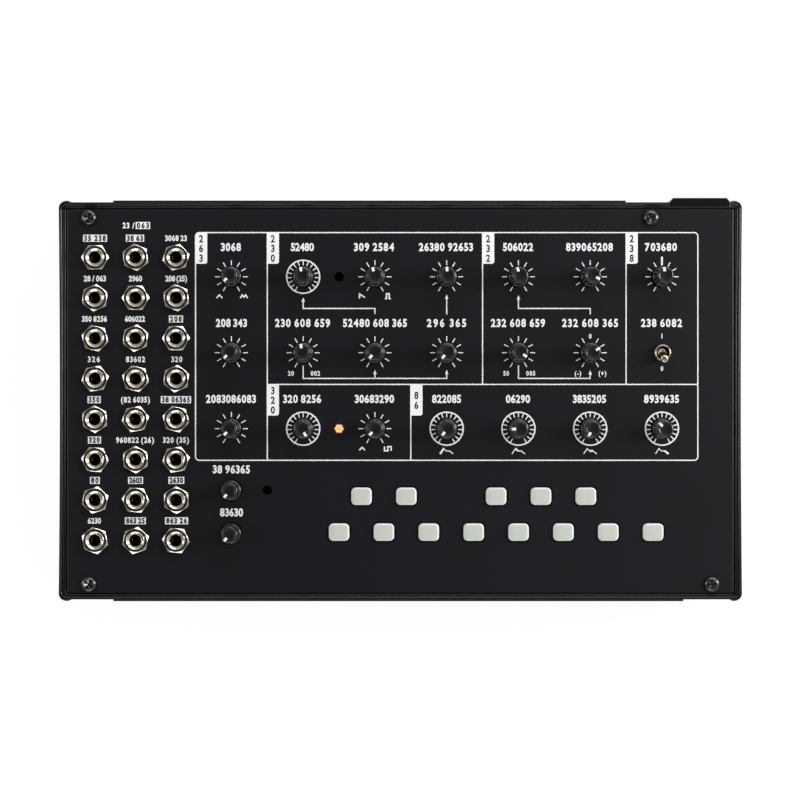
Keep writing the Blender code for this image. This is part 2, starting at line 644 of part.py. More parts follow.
def make_toggle():
    body = new_shape()
    top = panel_bottom - SEAT_GAP
    add_housing(body, 0, 0, TOGGLE_BODY_WIDTH, TOGGLE_BODY_DEPTH, (top - TOGGLE_BODY_HEIGHT, top))
    bushing = new_shape()
    add_cylinder(bushing, 0, 0, (top - OVERRUN, TOGGLE_BUSHING_PROUD), TOGGLE_BUSHING_RADIUS, POST_SIDES)
    bore = new_shape()
    add_cylinder(bore, 0, 0, (-TOGGLE_PIVOT_DROP - TOGGLE_BORE_BELOW_PIVOT, TOGGLE_BUSHING_PROUD + OVERRUN),
                 TOGGLE_BUSHING_RADIUS - TOGGLE_BUSHING_WALL, POST_SIDES)
    place_mesh("toggle_body", shape_by_steps(body, [("UNION", bushing), ("DIFFERENCE", bore)]), nickel(),
               (*toggle_place, 0))
    lever = new_shape()
    add_turned(lever, ((0, -LEVER_TAIL), (LEVER_RADIUS, -LEVER_TAIL), (LEVER_RADIUS, LEVER_TAIL),
                       (LEVER_TIP_RADIUS, LEVER_LENGTH - LEVER_EDGE),
                       (LEVER_TIP_RADIUS - LEVER_EDGE, LEVER_LENGTH), (0, LEVER_LENGTH)), ROUND_SIDES)
    make_object("toggle_lever", lever, nickel(), (*toggle_place, -TOGGLE_PIVOT_DROP),
                (math.radians(LEVER_TILT), 0, 0))


def make_led():
    led = new_shape()
    foot = LED_PROUD - LED_BODY_LENGTH
    flange_radius = LED_RADIUS + LED_FLANGE
    profile = [(0, foot), (flange_radius, foot), (flange_radius, foot + LED_FLANGE_HEIGHT),
               (LED_RADIUS, foot + LED_FLANGE_HEIGHT)]
    for k in range(DOME_STEPS):
        angle = math.tau / 4 * k / DOME_STEPS
        profile.append((LED_RADIUS * math.cos(angle), LED_PROUD - LED_RADIUS + LED_RADIUS * math.sin(angle)))
    add_turned(led, profile + [(0, LED_PROUD)], ROUND_SIDES)
    legs = new_shape()
    for x in (-LED_LEG_PITCH / 2, LED_LEG_PITCH / 2):
        add_box(legs, (x - LED_LEG / 2, x + LED_LEG / 2), (-LED_LEG / 2, LED_LEG / 2),
                (board_top + SEAT_GAP, foot + LED_FLANGE_HEIGHT / 2))
    place_mesh("led", shape_by_steps(led, [("UNION", legs)]), lamp_resin(), (*led_place, 0))


def make_trimmer_rotors():
    top = board_top + TRIMMER_HEIGHT + ROTOR_PROUD
    for k, (x, y) in enumerate(trimmer_places):
        rotor = new_shape()
        add_cylinder(rotor, 0, 0, (top - ROTOR_HEIGHT, top), ROTOR_RADIUS, ROUND_SIDES)
        slot = new_shape()
        add_housing(slot, 0, 0, 2 * (ROTOR_RADIUS + OVERRUN), ROTOR_SLOT_WIDTH,
                    (top - ROTOR_SLOT_DEPTH, top + OVERRUN))
        place_mesh(f"trimmer_rotor_{k + 1}", shape_by_steps(rotor, [("DIFFERENCE", slot)]), trimmer_plastic(),
                   (x, y, 0))


def make_power_inlet():
    body = new_shape()
    bore_end = inlet_face_y - INLET_BORE_DEPTH
    add_box(body, (boss_x - INLET_BODY_WIDTH / 2, boss_x + INLET_BODY_WIDTH / 2),
            (inlet_face_y - INLET_BODY_DEPTH, inlet_face_y),
            (inlet_z - INLET_BODY_HEIGHT / 2, inlet_z + INLET_BODY_HEIGHT / 2))
    bore = new_shape()
    add_rod(bore, boss_x, (bore_end, inlet_face_y + OVERRUN), inlet_z, INLET_BORE_RADIUS, INLET_SIDES)
    pin = new_shape()
    add_rod(pin, boss_x, (bore_end - OVERRUN, inlet_face_y - INLET_PIN_RECESS), inlet_z, INLET_PIN_RADIUS,
            ROUND_SIDES)
    place_mesh("power_inlet", shape_by_steps(body, [("DIFFERENCE", bore), ("UNION", pin)]), moulded_abs())


def main():
    for old in list(bpy.data.objects):
        bpy.data.objects.remove(old)
    origin = bpy.data.objects.new("panel_origin", None)
    origin.location = (0, (front_reach - back_reach) / 2, stand_height)
    bpy.context.scene.collection.objects.link(origin)
    make_case_tray()
    make_front_panel()
    make_control_board()
    make_jack_rows()
    make_panel_screws()
    make_feet()
    make_power_inlet()
    make_led()
    make_toggle()
    make_trimmer_rotors()
    make_knobs()
    make_keys()
    bpy.context.view_layer.update()


main()
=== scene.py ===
"""The looks of a compact analog synthesizer: a black 3U panel in a moulded tray, on a white table.

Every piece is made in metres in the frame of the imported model. Places on the panel count from the middle of
its top face, x to the player's right and y away from the player.
"""

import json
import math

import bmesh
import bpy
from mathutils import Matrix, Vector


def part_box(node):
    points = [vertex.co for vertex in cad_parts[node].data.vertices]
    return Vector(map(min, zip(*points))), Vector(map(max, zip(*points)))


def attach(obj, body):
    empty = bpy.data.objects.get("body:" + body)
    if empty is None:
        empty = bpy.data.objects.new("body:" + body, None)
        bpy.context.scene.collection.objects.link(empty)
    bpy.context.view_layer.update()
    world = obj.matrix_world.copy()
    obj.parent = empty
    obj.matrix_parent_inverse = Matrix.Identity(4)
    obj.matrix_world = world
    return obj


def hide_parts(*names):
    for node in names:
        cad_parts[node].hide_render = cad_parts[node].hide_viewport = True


bl_info = {
    "name": "Compact Analog Synthesizer",
    "version": (1, 0, 0),
    "blender": (4, 5, 0),
    "location": "View3D > Sidebar > Synthesizer",
    "description": "Builds the finished look of a small desk synthesizer around its packed model",
    "category": "Object",
}

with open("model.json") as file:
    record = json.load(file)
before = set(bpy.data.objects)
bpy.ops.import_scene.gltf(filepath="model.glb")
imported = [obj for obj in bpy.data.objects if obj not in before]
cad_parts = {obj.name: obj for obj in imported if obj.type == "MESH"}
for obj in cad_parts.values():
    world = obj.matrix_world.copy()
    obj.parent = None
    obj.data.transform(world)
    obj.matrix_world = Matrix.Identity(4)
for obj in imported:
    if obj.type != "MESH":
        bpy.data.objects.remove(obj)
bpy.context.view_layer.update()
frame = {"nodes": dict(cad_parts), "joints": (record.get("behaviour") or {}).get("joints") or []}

MM = 0.001

# Where the frame puts things
panel_low, panel_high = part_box("front_panel")
origin = Vector(((panel_low.x + panel_high.x) / 2, (panel_low.y + panel_high.y) / 2, panel_high.z))
tray_low, tray_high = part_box("case_tray")
joints = {joint["name"]: joint for joint in frame["joints"]}


def box_of(node):
    """A node's lowest and highest corner, counted from the middle of the panel's top face."""
    low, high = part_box(node)
    return low - origin, high - origin


def middle_of(node):
    low, high = box_of(node)
    return (low + high) / 2


panel_size = panel_high - panel_low
knob_nodes = sorted(node for node in frame["nodes"] if node.startswith("knob_"))
key_nodes = sorted(node for node in frame["nodes"] if node.startswith("key_"))
screw_nodes = sorted(node for node in frame["nodes"] if node.startswith("panel_screw_"))
foot_nodes = sorted(node for node in frame["nodes"] if node.startswith("foot_"))
jack_row_nodes = sorted(node for node in frame["nodes"] if node.startswith("jack_row_"))
trimmer_nodes = sorted(node for node in frame["nodes"] if node.startswith("trimmer_rotor_"))
rim_top = (tray_high - origin).z
tray_bottom = (tray_low - origin).z
board_low, board_high = box_of("control_board")

# Facets of round shapes
ROUND = 48
SMALL_ROUND = 24
FILLET_STEPS = 4
SMOOTH_ANGLE = 25

# Small gaps between pieces, how far a cutting shape runs past a face, and when two corners count as one
SEAT_GAP = 0.3 * MM
RIM_DROP = 0.06 * MM
OVERRUN = 1.0 * MM
MERGE_DISTANCE = 0.002 * MM


def size_setting(name, description, default):
    """A length, given in millimetres here and kept in metres."""
    return bpy.props.FloatProperty(name=name, description=description, default=default * MM, unit="LENGTH",
                                   precision=5)


def share_setting(name, description, default):
    return bpy.props.FloatProperty(name=name, description=description, default=default, subtype="FACTOR",
                                   min=0.0, max=1.0)


def to_linear(hexcode):
    """Linear colour of an sRGB hex code."""
    values = [int(hexcode[k:k + 2], 16) / 255 for k in (0, 2, 4)]
    return [v / 12.92 if v <= 0.04045 else ((v + 0.055) / 1.055) ** 2.4 for v in values]


def colour_setting(name, description, default):
    """A colour, given as an sRGB hex code here and kept linear."""
    return bpy.props.FloatVectorProperty(name=name, description=description, default=to_linear(default),
                                         subtype="COLOR", size=3, min=0.0, max=1.0)


def strength_setting(name, description, default):
    return bpy.props.FloatProperty(name=name, description=description, default=default, subtype="POWER",
                                   min=0.0)


class TraySettings(bpy.types.PropertyGroup):
    """The moulded tray."""
    colour: colour_setting("ABS", "Colour of the moulded tray", "0A0A0C")
    edge_width: size_setting("Edge", "Width of the low flat edge outside the rim's ridges", 0.5)
    edge_round: size_setting("Edge rounding", "Rounding of that edge", 0.12)
    edge_drop: size_setting("Edge drop", "How far that edge lies below the ridges", 0.6)
    ridge_width: size_setting("Ridge", "Width of the outer ridge on the rim", 0.55)
    groove_width: size_setting("Groove", "Width of the groove between the two ridges", 0.45)
    groove_depth: size_setting("Groove depth", "Depth of that groove", 0.8)
    ridge_round: size_setting("Ridge rounding", "Width of the inner ridge's rounding", 0.15)
    panel_gap: size_setting("Panel gap", "Gap round the panel", 0.4)
    wall: size_setting("Wall", "Thickness of the front and back walls", 1.8)
    side_wall: size_setting("Side wall", "Thickness of the side walls at their middle", 1.95)
    side_bow: size_setting("Side bow", "How far the side walls bow inwards at their middle", 0.43)
    corner_radius: size_setting("Corner radius", "Radius of the round corner posts", 2.65)
    corner_proud: size_setting("Corner", "How far a corner post stands out of the front or back wall", 0.6)
    corner_drop: size_setting("Corner drop", "How far a corner post ends below the rim", 1.0)
    band_proud: size_setting("Band", "How far the front and back bands stand out", 0.7)
    band_drop: size_setting("Band drop", "How far the bands end below the rim", 2.0)
    boss_chamfer: size_setting("Boss chamfer", "Slanted side of the boss round the power inlet", 1.2)
    boss_width: size_setting("Boss width", "Width of that boss across its flat", 18.0)
    mouth_radius: size_setting("Mouth", "Radius of the hole in front of the power inlet", 4.6)
    floor: size_setting("Floor", "Thickness of the tray's floor", 2.5)
    ledge: size_setting("Ledge", "Width of the ledge that carries the panel", 1.2)


class PanelSettings(bpy.types.PropertyGroup):
    """The coated panel and what is printed on it."""
    coat: colour_setting("Coat", "Colour of the powder coat", "0F1015")
    ink: colour_setting("Ink", "Colour of the white print", "F0F1F0")
    corner: size_setting("Corner", "Radius of the panel's corners", 0.7)
    edge_bevel: size_setting("Edge bevel", "Rounding of the panel's outer edge", 0.45)
    hole_bevel: size_setting("Hole bevel", "Bevel round the holes", 0.1)
    ink_height: size_setting("Ink height", "Thickness of one layer of ink", 0.03)
    line_width: size_setting("Line width", "Width of the section lines", 0.38)
    tick_width: size_setting("Tick width", "Width of a dial's ticks", 0.33)
    ring_width: size_setting("Ring width", "Width of a dial's ring", 0.46)
    ring_radius: size_setting("Ring radius", "Radius of a dial's ring at the middle of its line", 5.52)
    tick_radius: size_setting("Tick radius", "Where a dial's ticks start", 3.85)
    arrow_width: size_setting("Arrow width", "Width of the arrow lines", 0.38)
    jack_figure: size_setting("Jack figures", "Height of the figures over the jacks", 1.95)
    knob_figure: size_setting("Knob figures", "Height of the figures over the knobs", 2.75)
    figure_width: share_setting("Figure width", "How far the figures are condensed", 0.84)


class ControlSettings(bpy.types.PropertyGroup):
    """Knobs, keys, lamp and trimmers."""
    knob_colour: colour_setting("Knobs", "Colour of the moulded knobs", "15151A")
    pointer_colour: colour_setting("Pointers", "Colour of the painted pointers", "F4F4F0")
    key_colour: colour_setting("Keys", "Colour of the silicone keys", "BBC1B7")
    # A painted highlight: the paler colour given to the keys' rounded edges in place of the light that they
    # catch
    key_edge_highlight_colour: colour_setting("Key edges", "Colour of the keys where light shines through", "E9EBE5")
    lamp_colour: colour_setting("Lamp", "Colour of the lit lamp's middle", "FFBE32")
    lamp_lobe_colour: colour_setting("Lamp lobes", "Colour of the pale lobes round the middle", "FFDDB4")
    lamp_edge_colour: colour_setting("Lamp edge", "Colour of the lamp's edge", "8A1808")
    lamp_strength: strength_setting("Lamp strength", "How strongly the lamp glows", 1.1)
    pointer_width: size_setting("Pointer width", "Width of a knob's pointer", 0.85)
    pointer_length: size_setting("Pointer length", "Length of the pointer on the knob's top", 1.4)
    knob_dish: size_setting("Knob dish", "Depth of the dish in a knob's top", 0.14)
    key_corner: size_setting("Key corner", "Radius of a key's corners", 1.5)
    key_edge: size_setting("Key edge", "Rounding of a key's upper edge", 0.75)
    key_crown: size_setting("Key crown", "How far a key's middle stands over its edge", 0.12)


class MetalSettings(bpy.types.PropertyGroup):
    """Plated and blackened metal pieces."""
    nickel: colour_setting("Nickel", "Colour of the nickel plate", "CFC6B8")
    bronze: colour_setting("Bronze", "Colour of the contacts inside the jacks", "B08A3C")
    black_steel: colour_setting("Black steel", "Colour of the screws", "565656")
    bushing_lip: size_setting("Bushing lip", "Rounding of the outer edge of a jack's mouth", 0.18)
    nut_across_flats: size_setting("Nut", "Width of a jack's nut across its flats", 8.0)
    nut_height: size_setting("Nut height", "Height of a jack's nut", 2.0)
    thread_pitch: size_setting("Thread", "Pitch of the bushing's thread", 0.5)


class StudioSettings(bpy.types.PropertyGroup):
    """Camera, lamps and table."""
    camera_distance: size_setting("Camera distance", "Height of the camera over the panel", 900.0)
    picture_width: size_setting("Picture width", "Width that the picture covers at the panel", 267.56)
    camera_x: size_setting("Camera x", "Camera's place over the panel, to the right", -0.117)
    camera_y: size_setting("Camera y", "Camera's place over the panel, to the back", 0.284)
    table: colour_setting("Table", "Colour of the table", "F2F2F2")
    horizon: strength_setting("Horizon", "Strength of the sky at the horizon", 0.5)
    zenith: strength_setting("Zenith", "Strength of the sky overhead", 0.02)
    back_lamp: strength_setting("Back lamp", "Power of the softbox at the back", 3.8)
    left_lamp: strength_setting("Left lamp", "Power of the softbox at the left", 1.4)
    right_lamp: strength_setting("Right lamp", "Power of the softbox at the right", 6.0)
    front_lamp: strength_setting("Front lamp", "Power of the softbox at the front", 2.1)


def group_setting(kind, name, description):
    return bpy.props.PointerProperty(type=kind, name=name, description=description)


class SynthesizerSettings(bpy.types.PropertyGroup):
    """All settings of the synthesizer."""
    tray: group_setting(TraySettings, "Tray", "The moulded tray")
    panel: group_setting(PanelSettings, "Panel", "The panel and its print")
    controls: group_setting(ControlSettings, "Controls", "What is turned or pressed")
    metal: group_setting(MetalSettings, "Metal", "Plated and blackened pieces")
    studio: group_setting(StudioSettings, "Studio", "Camera, lamps and table")


def settings():
    return bpy.context.scene.synthesizer


# Mesh tools

# A corner's mitre reaches at most one over this share of the line's own offset
SHARPEST_MITRE = 0.5


def circle(x, y, radius, count, z=0.0):
    """Points round an upright axis."""
    return [Vector((x + radius * math.cos(math.tau * k / count),
                    y + radius * math.sin(math.tau * k / count), z)) for k in range(count)]


def round_rectangle(x, y, width, depth, radius, z=0.0, steps=6):
    points = []
    for quarter, (right, far) in enumerate(((1, 1), (-1, 1), (-1, -1), (1, -1))):
        for k in range(steps + 1):
            angle = math.tau / 4 * (quarter + k / steps)
            points.append(Vector((x + right * (width / 2 - radius) + radius * math.cos(angle),
                                  y + far * (depth / 2 - radius) + radius * math.sin(angle), z)))
    return points


def at_height(points, z):
    return [Vector((point.x, point.y, z)) for point in points]


def moved_left(before, point, after, distance):
    """A point of a line moved to the line's left, with its corner mitred."""
    first = (point - before).to_2d().normalized()
    second = (after - point).to_2d().normalized()
    across = Vector((-first.y - second.y, first.x + second.x)).normalized()
    stretch = max(SHARPEST_MITRE, across.x * -second.y + across.y * second.x)
    return Vector((point.x + across.x * distance / stretch, point.y + across.y * distance / stretch, point.z))


def inset(points, distance):
    """A closed anticlockwise outline moved inwards."""
    return [moved_left(*trio, distance)
            for trio in zip(points[-1:] + points[:-1], points, points[1:] + points[:1])]


def fillet(x, z, radius, start, end, steps=FILLET_STEPS):
    """Radius and height pairs along an arc round x, z; the angles are in degrees from the outward side."""
    return [(x + radius * math.cos(math.radians(start + (end - start) * k / steps)),
             z + radius * math.sin(math.radians(start + (end - start) * k / steps)))
            for k in range(steps + 1)]


def add_ring(shape, points):
    return [shape.verts.new(point) for point in points]


def add_band(shape, first, second):
    """Faces between two rings of corners; a ring of one corner makes a fan."""
    for k in range(max(len(first), len(second))):
        corners = (first[k % len(first)], first[(k + 1) % len(first)],
                   second[(k + 1) % len(second)], second[k % len(second)])
        shape.faces.new(list(dict.fromkeys(corners)))


def add_stack(shape, outlines):
    """A body through outlines of equal length, in order, with flat ends."""
    rings = [add_ring(shape, outline) for outline in outlines]
    for first, second in zip(rings, rings[1:]):
        add_band(shape, first, second)
    shape.faces.new(rings[0])
    shape.faces.new(rings[-1])


def stacked(outlines):
    """A new shape through outlines of equal length."""
    shape = bmesh.new()
    add_stack(shape, outlines)
    return shape


def turned(profile, sides=ROUND, place=Matrix()):
    """A new solid of revolution about Z from radius and height pairs; a radius of zero makes a point."""
    shape = bmesh.new()
    rings = []
    for radius, height in profile:
        outline = circle(0, 0, radius, sides, height) if radius > 0 else [Vector((0, 0, height))]
        rings.append(add_ring(shape, [place @ point for point in outline]))
    for first, second in zip(rings, rings[1:]):
        add_band(shape, first, second)
    return shape


def plug(radius, low, high, sides=SMALL_ROUND, place=Matrix()):
    """A new cylinder between two heights, to cut a bore with."""
    return turned([(0, low), (radius, low), (radius, high), (0, high)], sides, place)


def span(x, y, width, depth, low, high):
    """Lowest and highest corner of a box round an upright axis."""
    return (x - width / 2, y - depth / 2, low), (x + width / 2, y + depth / 2, high)


def soft_boxes(edge, *spans):
    """A new shape with a box between each span's lowest and highest corner, its edges chamfered."""
    shape = bmesh.new()
    for low, high in spans:
        corners = bmesh.ops.create_cube(shape, size=1.0)["verts"]
        size = Vector(high) - Vector(low)
        middle = (Vector(high) + Vector(low)) / 2
        for vertex in corners:
            vertex.co = middle + Vector((vertex.co.x * size.x, vertex.co.y * size.y, vertex.co.z * size.z))
        edges = {e for vertex in corners for e in vertex.link_edges}
        bmesh.ops.bevel(shape, geom=list(edges), offset=edge, offset_type="OFFSET", segments=2, profile=0.5,
                        affect="EDGES")
    return shape


def pierced_plate(loops, heights):
    """A new plate from outlines that share their heights: the first is its edge and the others are its holes.

    Each loop is a function that gives the outline moved outwards by a length. Heights holds pairs of a height
    and, for the edge and for a hole, the length to move by there.
    """
    shape = bmesh.new()
    rings = []
    for k, loop in enumerate(loops):
        stack = [add_ring(shape, at_height(loop(edge if k == 0 else hole), z)) for z, edge, hole in heights]
        for first, second in zip(stack, stack[1:]):
            add_band(shape, first, second)
        rings.append(stack)
    for level in (0, -1):
        edges = []
        for stack in rings:
            ring = stack[level]
            edges += [shape.edges.get(pair) for pair in zip(ring, ring[1:] + ring[:1])]
        bmesh.ops.triangle_fill(shape, edges=edges, use_beauty=True)
    return shape


def add_stroke(shape, points, width, zs, loop=False):
    """A flat printed line with square ends and mitred corners."""
    points = [Vector((x, y, 0.0)) for x, y in points]
    if loop:
        outer, inner = inset(points, -width / 2), inset(points, width / 2)
        levels = ((outer, zs[0]), (outer, zs[1]), (inner, zs[1]), (inner, zs[0]))
        rings = [add_ring(shape, at_height(outline, z)) for outline, z in levels]
        for first, second in zip(rings, rings[1:] + rings[:1]):
            add_band(shape, first, second)
        return
    befores = [2 * points[0] - points[1]] + points[:-1]
    afters = points[1:] + [2 * points[-1] - points[-2]]
    sections = []
    for trio in zip(befores, points, afters):
        sides = (moved_left(*trio, width / 2), moved_left(*trio, -width / 2))
        sections.append(at_height(sides, zs[0]) + at_height(sides[::-1], zs[1]))
    add_stack(shape, sections)


def add_slab(shape, points, zs):
    """A flat printed patch with the given outline."""
    points = [Vector((point[0], point[1], 0.0)) for point in points]
    add_stack(shape, [at_height(points, z) for z in zs])


def soften(mesh, finish):
    """Gives a mesh its finish and smooth shading between sharp edges."""
    mesh.materials.clear()
    if finish:
        mesh.materials.append(finish)
    mesh.shade_smooth()
    mesh.set_sharp_from_angle(angle=math.radians(SMOOTH_ANGLE))
    return mesh


def finish_mesh(name, shape, finish=None):
    """The mesh of a shape, which this call uses up."""
    bmesh.ops.recalc_face_normals(shape, faces=shape.faces[:])
    mesh = bpy.data.meshes.new(name)
    shape.to_mesh(mesh)
    shape.free()
    return soften(mesh, finish)


def mesh_by_steps(name, base, steps, finish):
    """The mesh left after each (operation, shape) step has been joined to or cut from the base shape."""
    body = bpy.data.objects.new("work_body", finish_mesh(name, base))
    bpy.context.scene.collection.objects.link(body)
    for operation, shape in steps:
        tool = bpy.data.objects.new("work_tool", finish_mesh("work_tool", shape))
        bpy.context.scene.collection.objects.link(tool)
        cut = body.modifiers.new("step", "BOOLEAN")
        cut.operation, cut.solver, cut.object = operation, "EXACT", tool
        done = bpy.data.meshes.new_from_object(body.evaluated_get(bpy.context.evaluated_depsgraph_get()))
        body.modifiers.clear()
        body.data = done
        bpy.data.objects.remove(tool)
    mesh = body.data
    mesh.name = name
    bpy.data.objects.remove(body)
    return soften(mesh, finish)


def place_piece(name, mesh, body="case", place=(0, 0, 0), tilt=(0, 0, 0), replaces=()):
    """A piece at a place that counts from the middle of the panel's top face."""
    piece = bpy.data.objects.new(name, mesh)
    bpy.context.scene.collection.objects.link(piece)
    piece.location = origin + Vector(place)
    piece.rotation_euler = tilt
    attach(piece, body)
    if replaces:
        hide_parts(*replaces)
    # Keeps flat faces flat beside the rounded edges
    piece.modifiers.new("weighted_normals", "WEIGHTED_NORMAL").keep_sharp = True


def place_set(name, parts, place, body="case", tilt=(0, 0, 0), replaces=()):
    """Pieces at one place, each with the end of its name, its mesh and its slot; the first one replaces."""
    for ending, mesh, slot in parts:
        place_piece(f"{name}_{ending}", mesh, body, place, tilt, replaces)
        replaces = ()


# Materials

# The range in which most of a noise lies
GRAIN_LOW = 0.3
GRAIN_HIGH = 0.7

# A wave texture of scale one repeats about every 0.3 units
WAVE_PERIOD = 0.3

# The lit lamp: pale lobes, and where its colours change from the middle to the edge
LOBES = 6
LOBE_TURN = 0.3
LOBE_DEPTH = 0.16 * MM
LAMP_MIDDLE_END = 0.4
LAMP_LOBES_AT = 0.7

# How strongly the table glows where it is seen, and how much of it is that glow
TABLE_GLOW = 1.05
TABLE_GLOW_SHARE = 0.9


def material(build):
    """Makes a function that fills a node tree give a material, which is named after it and made once."""
    def give():
        made = bpy.data.materials.get(build.__name__)
        if made is None:
            made = bpy.data.materials.new(build.__name__)
            made.use_nodes = True
            made.node_tree.nodes.clear()
            build(made.node_tree)
        return made
    return give


def add_node(tree, kind, values=None, links=None):
    """One shader node; values sets its options and sockets, and links feeds its sockets."""
    node = tree.nodes.new("ShaderNode" + kind)
    for key, value in (values or {}).items():
        if isinstance(key, str) and hasattr(node, key):
            setattr(node, key, value)
        else:
            node.inputs[key].default_value = value
    for key, source in (links or {}).items():
        tree.links.new(source, node.inputs[key])
    return node


def grain_of(tree, size, detail=3.0, stretch=(1, 1, 1)):
    """Noise whose patches measure about the given length, held to the piece."""
    coordinates = add_node(tree, "TexCoord")
    scaled = add_node(tree, "Mapping", {"Scale": stretch}, {"Vector": coordinates.outputs["Object"]})
    noise = add_node(tree, "TexNoise", {"Scale": 1 / size, "Detail": detail},
                     {"Vector": scaled.outputs["Vector"]})
    return noise.outputs["Fac"]


def limits(low, high):
    """Settings that make a noise run from low to high."""
    return {"From Min": GRAIN_LOW, "From Max": GRAIN_HIGH, "To Min": low, "To Max": high}


def tint(tree, grain, colour, low, high):
    """The colour, dimmed or lifted by the grain between two factors."""
    factor = add_node(tree, "MapRange", limits(low, high), {"Value": grain})
    mixed = add_node(tree, "VectorMath", {"operation": "SCALE", 0: colour},
                     {"Scale": factor.outputs["Result"]})
    return mixed.outputs["Vector"]


def close_material(tree, colour, values=None, grain=None, rough=None, depth=0.0, links=None):
    """Ends a material with its surface; the grain sets the roughness between two figures and gives bumps."""
    links = {"Base Color": colour, **(links or {})}
    if rough:
        links["Roughness"] = add_node(tree, "MapRange", limits(*rough), {"Value": grain}).outputs["Result"]
    if depth:
        links["Normal"] = add_node(tree, "Bump", {"Distance": depth}, {"Height": grain}).outputs["Normal"]
    surface = add_node(tree, "BsdfPrincipled", values, links)
    add_node(tree, "OutputMaterial", None, {"Surface": surface.outputs["BSDF"]})


@material
def powder_coated_aluminium(tree):
    """Aluminium sheet with a baked matt black powder coat: a fine orange peel that spreads light wide."""
    # The coat's grain is about 0.15 mm, drawn at 0.45 mm so that it shows at all
    grain = grain_of(tree, 0.45 * MM)
    colour = tint(tree, grain_of(tree, 30 * MM, 1.0), settings().panel.coat, 0.92, 1.08)
    close_material(tree, colour, None, grain, (0.29, 0.35), 0.004 * MM)


@material
def white_screen_ink(tree):
    """White screen ink, baked: an even, slightly chalky film with a faint mottle."""
    colour = tint(tree, grain_of(tree, 0.4 * MM), settings().panel.ink, 0.93, 1.0)
    close_material(tree, colour, {"Roughness": 0.55})


@material
def black_screen_ink(tree):
    """Black screen ink over the white: the coat's black, a little glossier."""
    colour = tint(tree, grain_of(tree, 0.4 * MM), settings().panel.coat, 0.9, 1.3)
    close_material(tree, colour, {"Roughness": 0.5})


@material
def spark_textured_abs(tree):
    """Black ABS from a spark-eroded mould: a fine even frost that softens every highlight."""
    # The mould's grain is about 0.1 mm, drawn at 0.4 mm so that it shows at all
    grain = grain_of(tree, 0.4 * MM)
    colour = tint(tree, grain, settings().tray.colour, 0.85, 1.15)
    close_material(tree, colour, {"IOR": 1.53}, grain, (0.17, 0.22), 0.002 * MM)


@material
def satin_moulded_abs(tree):
    """Black ABS, polished on the top and the rounded edges, with a dull flank that swallows the light."""
    rubbed = grain_of(tree, 4 * MM, 2.0)
    # Where the surface hardly faces up, it belongs to the flank
    coordinates = add_node(tree, "TexCoord")
    facing = add_node(tree, "SeparateXYZ", None, {0: coordinates.outputs["Normal"]})
    dull = add_node(tree, "MapRange", {"From Min": 0.35, "From Max": 0.12, "To Max": 0.1},
                    {"Value": facing.outputs["Z"]})
    polish = add_node(tree, "MapRange", limits(0.17, 0.23), {"Value": rubbed})
    rough = add_node(tree, "Math", None, {0: dull.outputs["Result"], 1: polish.outputs["Result"]})
    colour = tint(tree, rubbed, settings().controls.knob_colour, 0.9, 1.15)
    close_material(tree, colour, {"IOR": 1.53, "Specular IOR Level": 0.8},
                   links={"Roughness": rough.outputs["Value"]})


@material
def pad_printed_white(tree):
    """White pad-printed paint in the knob's groove: bright, smooth and slightly domed."""
    colour = tint(tree, grain_of(tree, 0.5 * MM), settings().controls.pointer_colour, 0.95, 1.0)
    close_material(tree, colour, {"Roughness": 0.4})


@material
def moulded_silicone(tree):
    """Pressed silicone rubber, off-white: soft, with a dull sheen, and a painted highlight that makes its
    rounded edges paler.
    """
    look = settings().controls
    cloud = grain_of(tree, 6 * MM, 2.0)
    # Where the surface stops facing up, the rounded edge is painted paler: a painted highlight for the light
    # that the edge catches
    coordinates = add_node(tree, "TexCoord")
    facing = add_node(tree, "SeparateXYZ", None, {0: coordinates.outputs["Normal"]})
    edge = add_node(tree, "MapRange", {"From Min": 0.98, "From Max": 0.8}, {"Value": facing.outputs["Z"]})
    colour = add_node(tree, "Mix", {"data_type": "RGBA", 7: (*look.key_edge_highlight_colour, 1)},
                      {0: edge.outputs["Result"], 6: tint(tree, cloud, look.key_colour, 0.97, 1.03)})
    close_material(tree, colour.outputs[2], {"IOR": 1.41, "Sheen Weight": 0.1}, grain_of(tree, 0.35 * MM),
                   (0.5, 0.6), 0.01 * MM)


@material
def nickel_plated_brass(tree):
    """Turned brass with a warm bright nickel plate: fine lathe rings and small scuffs from plugs."""
    # Lathe feed marks are about 0.05 mm apart, drawn at 0.25 mm so that they show at all
    coordinates = add_node(tree, "TexCoord")
    rings = add_node(tree, "TexWave", {"wave_type": "RINGS", "rings_direction": "Z", "Distortion": 0.6,
                                       "Scale": WAVE_PERIOD / (0.25 * MM), "Detail": 1.0},
                     {"Vector": coordinates.outputs["Object"]})
    bumps = add_node(tree, "Bump", {"Distance": 0.0015 * MM}, {"Height": rings.outputs["Fac"]})
    scuffs = grain_of(tree, 0.9 * MM)
    colour = tint(tree, scuffs, settings().metal.nickel, 0.88, 1.04)
    close_material(tree, colour, {"Metallic": 1.0}, scuffs, (0.1, 0.24),
                   links={"Normal": bumps.outputs["Normal"]})


@material
def phosphor_bronze(tree):
    """Rolled phosphor bronze strip: yellow, half bright, with rolling marks along it."""
    rolled = grain_of(tree, 0.3 * MM, 2.0, (1, 0.1, 1))
    colour = tint(tree, rolled, settings().metal.bronze, 0.85, 1.05)
    close_material(tree, colour, {"Metallic": 1.0}, rolled, (0.25, 0.4))


@material
def moulded_black_nylon(tree):
    """Black glass-filled nylon: dull, with a faint streaky surface."""
    streaks = grain_of(tree, 0.6 * MM, 2.0, (1, 0.3, 1))
    close_material(tree, tint(tree, streaks, to_linear("121214"), 0.8, 1.3), None, streaks, (0.5, 0.65))


@material
def moulded_epoxy(tree):
    """Black epoxy moulded round a chip: dead matt, with a fine sandy grain."""
    sand = grain_of(tree, 0.4 * MM)
    colour = tint(tree, sand, to_linear("1A1B1C"), 0.8, 1.2)
    close_material(tree, colour, None, sand, (0.65, 0.8), 0.02 * MM)


